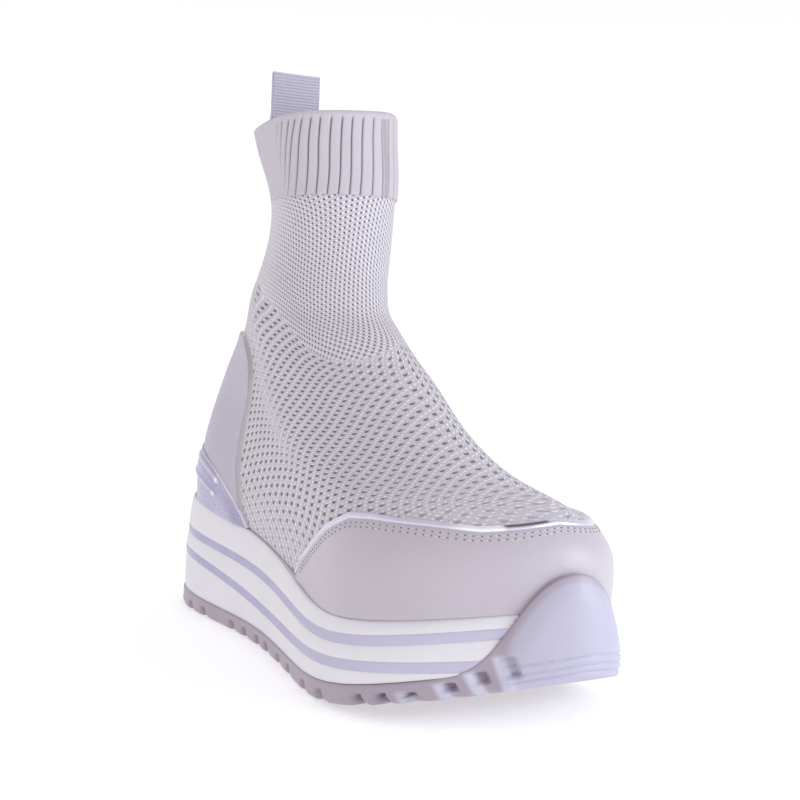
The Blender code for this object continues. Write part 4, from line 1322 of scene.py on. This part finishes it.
def foot_openness(turn, level, border):
    """How open the knit is: closed at the border, in a band on the quarter, low down and at toe and heel."""
    away = mirrored(turn)
    near_border = soft_step(0.0, BORDER_SOFT, border - level)
    toe = 1 - TOE_CLOSED * soft_step(*TOE_CLOSED_LEVEL, level) * soft_step(*TOE_CLOSED_TURN, away)
    low = 1 - LOW_CLOSED * soft_step(*LOW_CLOSED_LEVEL, level)
    off = (away - PLAIN_BAND_TURN + PLAIN_BAND_SLOPE * (level - PLAIN_BAND_LEVEL)) / PLAIN_BAND_HALF
    band = 1 - PLAIN_BAND * np.exp(-off ** 2) * soft_step(*PLAIN_BAND_START, level)
    below = np.clip(HEEL_OPEN_BELOW - level, 0, HEEL_OPEN_REACH)
    heel = soft_step(*HEEL_OPEN_TURN, away + HEEL_OPEN_SLOPE * below)
    return near_border * toe * low * band * np.maximum(heel, soft_step(*HEEL_OPEN_LEVEL, level))


def make_foot_knit(material):
    """Open knit of vamp and quarters, pitted where its holes are."""
    turn = upper_turns(FOOT_RING, FOOT_COLUMNS)
    border = knit_border(turn)
    level = np.linspace(0.0, 1.0, FOOT_ROWS)[:, None] * border
    across, upward, lean = cloth_places(turn, border, 0 * border, BORDER_HOLD, FOOT_ROWS, worn=True)
    counts = lattice_counts(across, upward, FOOT_FIRST, FOOT_SECOND)
    x, y = lattice_offset(*counts, FOOT_FIRST, FOOT_SECOND, lean)
    slant = np.radians(np.interp(np.degrees(turn), CLOTH_TURN, CLOTH_SLANT))
    along = x * np.cos(slant) + y * np.sin(slant)
    side = y * np.cos(slant) - x * np.sin(slant)
    openness = foot_openness(turn, level, border)
    hole = np.exp(-(along / FOOT_PIT[0]) ** 2 - (side / FOOT_PIT[1]) ** 2) * openness
    points = upper_offset(turn, level, creases(turn, level) - FOOT_RELIEF * hole)
    even = soft_step(*EVEN_TURN, mirrored(turn))
    return add_knit("upper_foot_knit", points, counts, material,
                    slant=slant, open=openness, lean=lean, even=even)


def make_shaft_knit(material):
    """Fine knit of the shaft, from the open knit's border to the cuff."""
    turn = upper_turns(SHAFT_RING, SHAFT_COLUMNS)
    away = mirrored(turn)
    border = knit_border(turn)
    top = np.full_like(border, CUFF_LEVEL + CUFF_OVERLAP)
    level = border + np.linspace(0.0, 1.0, SHAFT_ROWS)[:, None] * (top - border)
    across, upward, lean = cloth_places(turn, top, border, SMALL_STEP, SHAFT_ROWS, worn=False)
    counts = lattice_counts(across, upward, SHAFT_FIRST, SHAFT_SECOND)
    x, y = lattice_offset(*counts, SHAFT_FIRST, SHAFT_SECOND, lean)
    plain = smooth(PLAIN_LEVEL, PLAIN_TURN, np.clip(level, PLAIN_LEVEL[0], PLAIN_LEVEL[-1]))
    openness = soft_step(-PLAIN_SOFT, PLAIN_SOFT, away - plain)
    openness = openness * soft_step(0.0, BORDER_SOFT, level - border) * soft_step(*SHAFT_FADE, away)
    pit = openness * np.exp(-(x ** 2 + y ** 2) / SHAFT_HOLE ** 2)
    points = upper_offset(turn, level, creases(turn, level) - SHAFT_RELIEF * pit)
    points[..., 2] += collar_lift(turn, level)
    even = soft_step(*EVEN_TURN, away)
    return add_knit("upper_shaft_knit", points, counts, material, open=openness, lean=lean, even=even)


def collar_lift(turn, level):
    """Rise of the collar on its inner front, where it stands a little higher."""
    away = (np.degrees(turn) - COLLAR_LIFT_TURN) / COLLAR_LIFT_REACH
    lift = COLLAR_LIFT * np.exp(-away ** 2) - COLLAR_LOWER
    return lift * soft_step(*COLLAR_LIFT_LEVELS, level)


def rib_groove(turn, run, level):
    """Depth of the cuff's grooves, which fade out at the back, and the swell of the ribs between them."""
    rise = np.clip((level - CUFF_LEVEL) / (TOP_LEVEL - CUFF_LEVEL), 0, 1)
    lines = np.radians(np.array(RIB_FOOT) * (1 - rise) + np.array(RIB_HEAD) * rise)
    count = np.interp(turn, lines, np.arange(len(lines)))
    nearest = lines[count.round().astype(int)]
    groove = np.exp(-((run - np.interp(nearest, turn, run)) / RIB_GROOVE) ** 2)
    ribbed = soft_step(*RIB_PLAIN, mirrored(turn))
    groove = groove * ribbed * soft_step(RIB_TOP + RIB_SOFT, RIB_TOP - RIB_SOFT, level)
    return groove, ribbed * np.sqrt(np.abs(np.sin(np.pi * count)))


def make_cuff(material):
    """Ribbed cuff with a plain rolled top edge, turned in over the lining."""
    turn = upper_turns(CUFF_RING, CUFF_COLUMNS)
    run = lengths_along(upper_point(turn, CUFF_RING))
    run = run - np.interp(np.radians(CUFF_SEAM_TURN), turn, run)
    seam = np.exp(-(run / CUFF_SEAM_HALF) ** 4)
    flush = CUFF_FLUSH_LEAST + (1 - CUFF_FLUSH_LEAST) * soft_step(*CUFF_FLUSH, mirrored(turn))
    rows = [(CUFF_LEVEL + level, step) for level, step in CUFF_FOOT_EDGE]
    rows += [(level, CUFF_STEP) for level in np.linspace(CUFF_LEVEL + CUFF_FULL, TOP_LEVEL, CUFF_ROWS)]
    layers = []
    shades = []

    def add_ring(level, distance, rise=0.0, shade=0.0):
        ring = upper_offset(turn, level, distance)
        ring[:, 2] += rise + collar_lift(turn, level)
        layers.append(ring)
        shades.append(np.broadcast_to(shade, turn.shape))

    for level, step in rows:
        groove, swell = rib_groove(turn, run, level)
        groove = np.maximum(groove * (1 - seam), CUFF_SEAM_DEEP * seam * (level < RIB_TOP))
        add_ring(level, step * flush + RIB_CROWN * swell - RIB_DEPTH * groove, shade=groove)
    middle = (CUFF_STEP * flush - WALL) / 2
    radius = (CUFF_STEP * flush + WALL) / 2
    ripple = COLLAR_BEAD * np.cos(FULL_TURN * run / COLLAR_BEAD_PITCH)
    for angle in np.linspace(0.0, np.pi, COLLAR_STEPS)[1:]:
        rise = (radius * COLLAR_FLAT + ripple) * np.sin(angle)
        add_ring(TOP_LEVEL, middle + radius * np.cos(angle), rise)
    for level in np.linspace(TOP_LEVEL, LINING_START, COLLAR_INSIDE_ROWS)[1:]:
        add_ring(level, -WALL)
    points = np.stack(layers)
    across = np.broadcast_to(run / CUFF_STITCH[0], points.shape[:2])
    upward = np.broadcast_to(lengths_along(points[:, 0])[:, None], points.shape[:2])
    return add_knit("upper_cuff", points, (across, upward), material, groove=np.stack(shades))


def make_lining(material):
    """Inner face of the upper, from the cuff's turned-in edge down to the insole."""
    turn = upper_turns(LINING_RING, LINING_COLUMNS)[:-1]
    level = np.linspace(LINING_START + LINING_OVERLAP, 0.0, LINING_ROWS)[:, None]
    height = creases(turn, level) * np.clip(level / LINING_CALM, 0, 1)
    points = upper_offset(turn, level, height - WALL)
    points[..., 2] += collar_lift(turn, level)
    faces = grid_faces(LINING_ROWS, LINING_COLUMNS, closed=True)[0]
    return add_piece("upper_lining", "upper", "knit", points.reshape(-1, 3), faces.tolist(), material)


def panel_edge(away, turns, levels):
    """Level of a panel's upper edge at a turn away from its middle line."""
    return np.interp(np.abs(away), np.radians(turns), levels)


def run_from(points, axis, backwards):
    """Length along one way of a grid, from its first or its last line."""
    steps = np.linalg.norm(np.diff(points, axis=axis), axis=-1)
    if backwards:
        steps = np.flip(steps, axis=axis)
    start = np.zeros_like(np.take(steps, [0], axis=axis))
    run = np.concatenate([start, np.cumsum(steps, axis=axis)], axis=axis)
    return np.flip(run, axis=axis) if backwards else run


def edge_roll(distance, radius):
    """Quarter-round rise of a rolled edge, from 0 at the edge to 1."""
    short = 1 - np.clip(distance / radius, 0, 1)
    return np.sqrt(1 - short ** 2)


def make_toe_cap(material):
    """Smooth mudguard round the toe, its top edge rolled in under the trim."""
    away = np.radians(np.linspace(-TOE_CAP_TURN[-1], TOE_CAP_TURN[-1], TOE_CAP_COLUMNS))
    top = panel_edge(away, TOE_CAP_TURN, TOE_CAP_LEVEL) - TRIM_SEAM
    level = np.linspace(0.0, 1.0, TOE_CAP_ROWS)[:, None] * top
    turn = np.broadcast_to(FULL_TURN / 2 + away, level.shape)
    flat = upper_point(turn, level)
    roll = edge_roll(run_from(flat, 0, True), PANEL_ROLL)
    outer = upper_offset(turn, level, PANEL_SEAT + (PANEL_GAP + PANEL_THICK - PANEL_SEAT) * roll)
    inner = upper_offset(turn, level, PANEL_SEAT - PANEL_UNDER)
    points, faces = slab_solid(outer, inner)
    return add_piece("toe_cap_panel", "toe_cap", "toe_leather", points, faces, material)


def make_toe_trim(material):
    """Narrow polished strip, crowned across its width, with a painted white glint and a painted dark
    reflection in its colour.
    """
    away = np.radians(np.linspace(-TOE_CAP_TURN[-1], TOE_CAP_TURN[-1], TOE_CAP_COLUMNS))
    line = panel_edge(away, TOE_CAP_TURN, TOE_CAP_LEVEL)
    share = np.linspace(-1.0, 1.0, TRIM_ROWS)[:, None]
    level = np.clip(line + TRIM_HALF * share, 0.0, None)
    turn = np.broadcast_to(FULL_TURN / 2 + away, level.shape)
    rounding = np.sqrt(1 - (share * TRIM_ROUND) ** 2)
    crown = PANEL_GAP + PANEL_THICK - TRIM_EDGE + (TRIM_CROWN + TRIM_EDGE) * rounding
    outer = upper_offset(turn, level, np.broadcast_to(crown, level.shape))
    inner = upper_offset(turn, level, PANEL_SEAT)
    points, faces = slab_solid(outer, inner)
    piece = add_piece("toe_trim_strip", "toe_trim", "trim_foil", points, faces, material)
    degrees = np.degrees(turn)
    # Painted glint and painted dark reflection, set by turn along the strip.
    painted_glare = soft_step(*TRIM_PAINTED_GLARE[:2], degrees) * soft_step(*TRIM_PAINTED_GLARE[2:], degrees)
    dim = soft_step(*TRIM_PAINTED_REFLECTION[:2], degrees) * soft_step(*TRIM_PAINTED_REFLECTION[2:], degrees)
    dim = dim * soft_step(*TRIM_PAINTED_REFLECTION_ROWS, share)
    set_share(piece, "painted_highlight", np.stack([painted_glare, painted_glare]))
    set_share(piece, "dim", np.stack([dim, dim]))
    return piece


def make_heel_counter(material):
    """Smooth panel round the heel, with a rolled edge that shows its cut."""
    level = np.linspace(0.0, COUNTER_LEVEL[-1], COUNTER_ROWS)
    reach = np.radians(smooth(COUNTER_LEVEL, COUNTER_TURN, level))
    turn = reach[:, None] * np.linspace(-1.0, 1.0, COUNTER_COLUMNS)
    level = np.broadcast_to(level[:, None], turn.shape)
    flat = upper_point(turn, level)
    edge = np.minimum(run_from(flat, 1, False), run_from(flat, 1, True))
    edge = np.minimum(edge, run_from(flat, 0, True))
    height = PANEL_SEAT + (PANEL_GAP + PANEL_THICK - PANEL_SEAT) * edge_roll(edge, PANEL_ROLL)
    outer = upper_offset(turn, level, height)
    inner = upper_offset(turn, level, PANEL_SEAT - PANEL_UNDER)
    points, faces = slab_solid(outer, inner)
    piece = add_piece("heel_counter_panel", "heel_counter", "heel_leather", points, faces, material)
    cut = np.exp(-(edge / COUNTER_CUT) ** 2)
    set_share(piece, "cut", np.concatenate([cut.reshape(-1), cut.reshape(-1)]))
    return piece


def make_heel_clip(material):
    """Moulded clip over the foot of the counter: raised rim, and two ridges that end in raised dots; rim,
    ridges and dots carry painted highlights.
    """
    away = np.radians(np.linspace(-CLIP_TURN[-1], CLIP_TURN[-1], CLIP_COLUMNS))
    top = smooth(CLIP_TURN, CLIP_LEVEL, np.abs(np.degrees(away)))
    share = 1 - (1 - np.linspace(0.0, 1.0, CLIP_ROWS)[:, None]) ** CLIP_CROWDING
    level = share * top
    turn = np.broadcast_to(away, level.shape)
    degrees = np.abs(np.degrees(turn))
    edge = run_from(upper_point(turn, level), 0, True)
    start = np.interp(degrees, CLIP_EDGE_TURN, CLIP_EDGE_HIGH)
    face = start + (CLIP_GAP + CLIP_THICK - start) * soft_step(0.0, CLIP_FULL_AT, edge)
    height = PANEL_SEAT + (face - PANEL_SEAT) * edge_roll(edge, CLIP_ROLL)
    rim = np.exp(-((edge - CLIP_RIM_AT) / CLIP_RIM_HALF) ** 2)
    height = height + CLIP_RIM * rim
    # Painted highlight along the rim towards the clip's tip.
    painted_highlight = rim * soft_step(*CLIP_RIM_PAINTED_HIGHLIGHT, degrees)
    ends = soft_step(CLIP_RIDGE_END + CLIP_RIDGE_SOFT, CLIP_RIDGE_END - CLIP_RIDGE_SOFT, degrees)
    dot = CLIP_DOT_HIGH * np.exp(-((degrees - CLIP_RIDGE_END + CLIP_DOT_REACH) / CLIP_DOT_REACH) ** 2)
    for ridge in CLIP_RIDGE_LEVELS:
        off = (level - smooth(CLIP_RIDGE_TURN, ridge, degrees)) / CLIP_RIDGE_HALF
        swell = ends * np.exp(-off ** 4)
        height = height + (CLIP_RIDGE_HIGH + dot) * swell
        # Painted highlight on the ridges, strongest at their end dots.
        lit = CLIP_RIDGE_PAINTED_HIGHLIGHT + (1 - CLIP_RIDGE_PAINTED_HIGHLIGHT) * dot / CLIP_DOT_HIGH
        painted_highlight = np.maximum(painted_highlight, swell * lit)
    outer = upper_offset(turn, level, height)
    inner = upper_offset(turn, level, PANEL_SEAT)
    points, faces = slab_solid(outer, inner)
    piece = add_piece("heel_clip_shell", "heel_clip", "clip_plastic", points, faces, material)
    set_share(piece, "painted_highlight", np.stack([painted_highlight, np.zeros_like(painted_highlight)]))
    return piece


def beside(turn, level, distance):
    """Turn and level moved off a line on the upper, towards its foot, by a distance in millimetres."""
    around, upward = upper_slopes(turn, level)
    line = np.gradient(upper_point(turn, level), axis=0)
    across = unit(np.cross(line, np.cross(around, upward))) * distance
    a = np.sum(around * around, axis=-1)
    b = np.sum(around * upward, axis=-1)
    c = np.sum(upward * upward, axis=-1)
    first = np.sum(around * across, axis=-1)
    second = np.sum(upward * across, axis=-1)
    scale = a * c - b * b
    return turn + (first * c - second * b) / scale, level + (second * a - first * b) / scale


def bead(middle, ahead, outward, long, half):
    """Small smooth bead along a line: points and faces of one stitch or hole."""
    side = np.cross(outward, ahead)
    points = [middle - ahead * long / 2]
    for share in BEAD_RINGS:
        swell = np.sqrt(1 - share ** 2)
        for angle in np.linspace(0, FULL_TURN, BEAD_SIDES, endpoint=False):
            spoke = side * np.cos(angle) + outward * np.sin(angle)
            points.append(middle + ahead * long / 2 * share + spoke * half * swell)
    points.append(middle + ahead * long / 2)
    pairs = [(i, (i + 1) % BEAD_SIDES) for i in range(BEAD_SIDES)]
    last = 1 + BEAD_SIDES * (len(BEAD_RINGS) - 1)
    faces = [(0, 1 + after, 1 + here) for here, after in pairs]
    for ring in range(1, last, BEAD_SIDES):
        above = ring + BEAD_SIDES
        faces += [(ring + here, ring + after, above + after, above + here) for here, after in pairs]
    faces += [(last + here, last + after, last + BEAD_SIDES) for here, after in pairs]
    return np.array(points), faces


def make_stitching(sewing, pricked):
    """Two rows of stitches below the trim, with dark beads of painted shade as the needle holes between them.
    """
    end = np.radians(TOE_CAP_TURN[-1] - STITCH_END)
    away = np.linspace(-end, end, STITCH_SAMPLES)
    line = panel_edge(away, TOE_CAP_TURN, TOE_CAP_LEVEL)
    kernel = np.ones(STITCH_SMOOTHING) / STITCH_SMOOTHING
    line = np.convolve(np.pad(line, STITCH_SMOOTHING // 2, mode="edge"), kernel, mode="valid")
    beads = ((0.0, STITCH_LONG, STITCH_HALF), (0.5, STITCH_HOLE_LONG, STITCH_HOLE))
    points = []
    faces = []
    kinds = []
    count = 0
    for distance in STITCH_LINES:
        turn, level = beside(FULL_TURN / 2 + away, line, distance)
        keep = level > STITCH_LOWEST
        path = upper_offset(turn[keep], level[keep], PANEL_GAP + PANEL_THICK)
        outward = unit(path - upper_offset(turn[keep], level[keep], 0.0))
        ahead = unit(np.gradient(path, axis=0))
        run = lengths_along(path)
        for place in np.arange(STITCH_PITCH, run[-1] - STITCH_PITCH, STITCH_PITCH):
            for kind, (shift, long, half) in enumerate(beads):
                at = place + shift * STITCH_PITCH
                middle = np.array([np.interp(at, run, path[:, i]) for i in range(3)])
                nearest = int(np.searchsorted(run, at))
                more, shape = bead(middle, ahead[nearest], outward[nearest], long, half)
                points.append(more)
                faces += [tuple(i + count for i in face) for face in shape]
                kinds += [kind] * len(shape)
                count += len(more)
    points = np.concatenate(points)
    piece = add_piece("toe_cap_stitching", "toe_cap", "toe_leather", points, faces, sewing, pricked)
    piece.data.polygons.foreach_set("material_index", np.array(kinds, dtype=np.int32))
    return piece


def loop_path():
    """Middle of the webbing seen from the side: distance off the upper's face, and height."""
    outside = CUFF_STEP + LOOP_GAP + LOOP_THICK / 2
    inside = -WALL - LOOP_GAP - LOOP_THICK / 2
    middle = (outside + inside) / 2
    collar = upper_column("back_z", TOP_LEVEL)
    radius = LOOP_CLOSED / 2
    top = LOOP_TOP_Z - LOOP_THICK / 2 - radius
    heights = np.array([LOOP_FOOT_Z, (LOOP_FOOT_Z + collar) / 2, collar + GAP, collar + LOOP_CLOSING / 2,
                        collar + LOOP_CLOSING, top])
    closing = np.clip((heights - collar - GAP) / LOOP_CLOSING, 0, 1)
    half_gap = (outside - middle) * (1 - closing) + radius * closing
    path = [(middle + half, z) for half, z in zip(half_gap, heights)]
    for angle in np.linspace(0, np.pi, LOOP_FOLD_STEPS + 1)[1:-1]:
        path.append((middle + radius * np.cos(angle), top + radius * np.sin(angle)))
    path += [(middle - half, z) for half, z in zip(half_gap[::-1], heights[::-1])]
    return np.array(path)


def loop_point(turn, distance, height):
    """Point at a distance off the upper's back, upright above the collar."""
    levels = np.linspace(CUFF_LEVEL, TOP_LEVEL, LEVEL_SAMPLES)
    heights = upper_column("back_z", levels)
    level = np.interp(height, heights, levels)
    point = upper_offset(turn, level, distance)
    point[..., 2] = height
    return point


def make_pull_loop(material):
    """Webbing strip with raised cross ribs, folded over above the collar."""
    coarse = loop_path()
    run = lengths_along(coarse)
    places = np.linspace(0, run[-1], LOOP_STEPS)
    path = np.stack([np.interp(places, run, coarse[:, i]) for i in range(2)], axis=1)
    ahead = unit(np.gradient(path, axis=0))
    across = np.stack([ahead[:, 1], -ahead[:, 0]], axis=1)
    back = np.linspace(-LOOP_SPAN, LOOP_SPAN, LOOP_SAMPLES)
    around = upper_point(back, TOP_LEVEL)
    lengths = lengths_along(around)
    lengths = lengths - lengths[len(lengths) // 2]
    turn = np.interp(np.linspace(-LOOP_WIDE / 2, LOOP_WIDE / 2, LOOP_COLUMNS) + LOOP_SHIFT, lengths, back)
    rib = LOOP_RIB_HIGH * np.sin(np.pi * places / LOOP_RIB_PITCH) ** 2
    sheets = []
    for side in (0.5, -0.5):
        line = path + across * side * (LOOP_THICK - LOOP_RIB_HIGH + 2 * rib)[:, None]
        sheet = np.stack([loop_point(turn, distance, np.full_like(turn, z)) for distance, z in line])
        collar = upper_column("back_z", TOP_LEVEL)
        flat = LOOP_FLAT * soft_step(collar, collar + LOOP_CLOSING, line[:, 1])[:, None, None]
        share = np.linspace(0.0, 1.0, LOOP_COLUMNS)[None, :, None]
        straight = sheet[:, :1] * (1 - share) + sheet[:, -1:] * share
        sheet = sheet * (1 - flat) + straight * flat
        sheet[..., 2] += LOOP_TILT * flat[..., 0] * (1 - share[..., 0])
        sheets.append(sheet)
    points, faces = slab_solid(sheets[0], sheets[1])
    piece = add_piece("pull_loop_tape", "pull_loop", "webbing", points, faces, material)
    # Painted shade in the valleys between the ribs.
    rib_valley_shade = np.tile(1 - rib / LOOP_RIB_HIGH, 2)
    set_share(piece, "rib_valley_shade", np.broadcast_to(rib_valley_shade[:, None], (2 * LOOP_STEPS, LOOP_COLUMNS)))
    return piece


def make_camera():
    """Camera at the photograph's place, rolled as it was."""
    flat = np.cos(CAMERA_PITCH)
    forward = np.array([flat * np.cos(CAMERA_YAW), flat * np.sin(CAMERA_YAW), -np.sin(CAMERA_PITCH)])
    right = np.array([np.sin(CAMERA_YAW), -np.cos(CAMERA_YAW), 0.0])
    down = np.cross(forward, right)
    rolled_right = right * np.cos(CAMERA_ROLL) + down * np.sin(CAMERA_ROLL)
    rolled_down = down * np.cos(CAMERA_ROLL) - right * np.sin(CAMERA_ROLL)
    axes = np.stack([rolled_right, -rolled_down, -forward], axis=1)
    spot = (np.array(CAMERA_AT) - ORIGIN) * MM
    camera = bpy.data.objects.new("camera", bpy.data.cameras.new("camera"))
    camera.matrix_world = mathutils.Matrix.Translation(spot) @ mathutils.Matrix(axes.tolist()).to_4x4()
    camera.data.sensor_width = SENSOR
    camera.data.lens = CAMERA_FOCAL / PICTURE_SIDE * SENSOR
    camera.data.shift_x = -(CAMERA_CENTRE[0] - PICTURE_SIDE / 2) / PICTURE_SIDE
    camera.data.shift_y = (CAMERA_CENTRE[1] - PICTURE_SIDE / 2) / PICTURE_SIDE
    camera.data.clip_start = CAMERA_NEAR
    bpy.context.collection.objects.link(camera)
    bpy.context.scene.camera = camera


def make_floor():
    """Plain pale floor under the boot."""
    paint = Shader("pale_floor", Roughness=0.7)
    cloud = paint.noise(1.5, 2.0)
    paint.colour(paint.mix(cloud, *FLOOR_PAINT))
    paint.main.inputs["Emission Color"].default_value = (1.0, 1.0, 1.0, 1.0)
    paint.main.inputs["Emission Strength"].default_value = FLOOR_GLOW
    mesh = bpy.data.meshes.new("floor")
    corners = [(x * FLOOR_HALF, y * FLOOR_HALF, 0) for x, y in ((-1, -1), (1, -1), (1, 1), (-1, 1))]
    mesh.from_pydata(corners, [], [(0, 1, 2, 3)])
    mesh.materials.append(paint.material)
    floor = bpy.data.objects.new("floor", mesh)
    bpy.context.collection.objects.link(floor)


def add_light(name, place, aim, size, power, colour):
    """Soft round lamp aimed at a point, in metres."""
    lamp = bpy.data.lights.new(name, "AREA")
    lamp.shape = "DISK"
    lamp.size = size
    lamp.energy = power
    lamp.color = colour
    light = bpy.data.objects.new(name, lamp)
    light.location = place
    way = mathutils.Vector(aim) - mathutils.Vector(place)
    light.rotation_euler = way.to_track_quat("-Z", "Y").to_euler()
    bpy.context.collection.objects.link(light)


def make_light():
    """Bright soft studio: white surroundings, dimmer overhead, and a cool low key from the front right."""
    world = bpy.data.worlds.new("studio")
    world.use_nodes = True
    nodes = world.node_tree.nodes
    links = world.node_tree.links
    way = nodes.new("ShaderNodeTexCoord")
    split = nodes.new("ShaderNodeSeparateXYZ")
    fall = nodes.new("ShaderNodeMapRange")
    fall.inputs["To Min"].default_value = SKY_LEVEL
    fall.inputs["To Max"].default_value = SKY_TOP
    links.new(way.outputs["Generated"], split.inputs[0])
    links.new(split.outputs[2], fall.inputs["Value"])
    links.new(fall.outputs["Result"], nodes["Background"].inputs["Strength"])
    nodes["Background"].inputs["Color"].default_value = SKY_COLOUR
    bpy.context.scene.world = world
    add_light("key_right", **KEY_LAMP)
    add_light("toe_side", **TOE_LAMP)
    bpy.context.scene.view_settings.view_transform = "Standard"


def make_boot():
    """All pieces of the boot, each with its material."""
    # The stripes' last colour is their painted highlight.
    lilac_film = foil("stripe_film", linear(164, 158, 188), linear(174, 168, 198), 0.34, 0.45,
                      linear(190, 186, 207))
    make_outsole(rubber())
    make_midsole(foam())
    make_stripe("stripe_lower", LOWER_STRIPE, LOWER_INSET, lilac_film)
    make_stripe("stripe_upper", UPPER_STRIPE, UPPER_INSET, lilac_film)
    make_insole(footbed_cloth())
    make_foot_knit(foot_knit())
    make_shaft_knit(shaft_knit())
    make_cuff(cuff_knit())
    make_lining(lining_cloth())
    make_toe_cap(leather("toe_skin", linear(184, 175, 185), linear(189, 181, 191)))
    make_stitching(thread(), needle_hole_shade())
    # Trim film: its last two colours are the painted glint and the painted dark reflection.
    make_toe_trim(foil("trim_film", linear(206, 201, 219), linear(216, 212, 228), 0.2, 0.6,
                     linear(244, 243, 248), linear(98, 94, 106)))
    make_heel_counter(leather("heel_skin", linear(172, 165, 182), linear(178, 171, 188),
                              linear(206, 196, 190)))
    # The clip's last colour is its painted highlight.
    make_heel_clip(foil("clip_film", linear(166, 160, 190), linear(180, 174, 203), 0.28, 0.45,
                        linear(250, 250, 254)))
    make_pull_loop(webbing())


make_boot()
make_camera()
make_floor()
make_light()
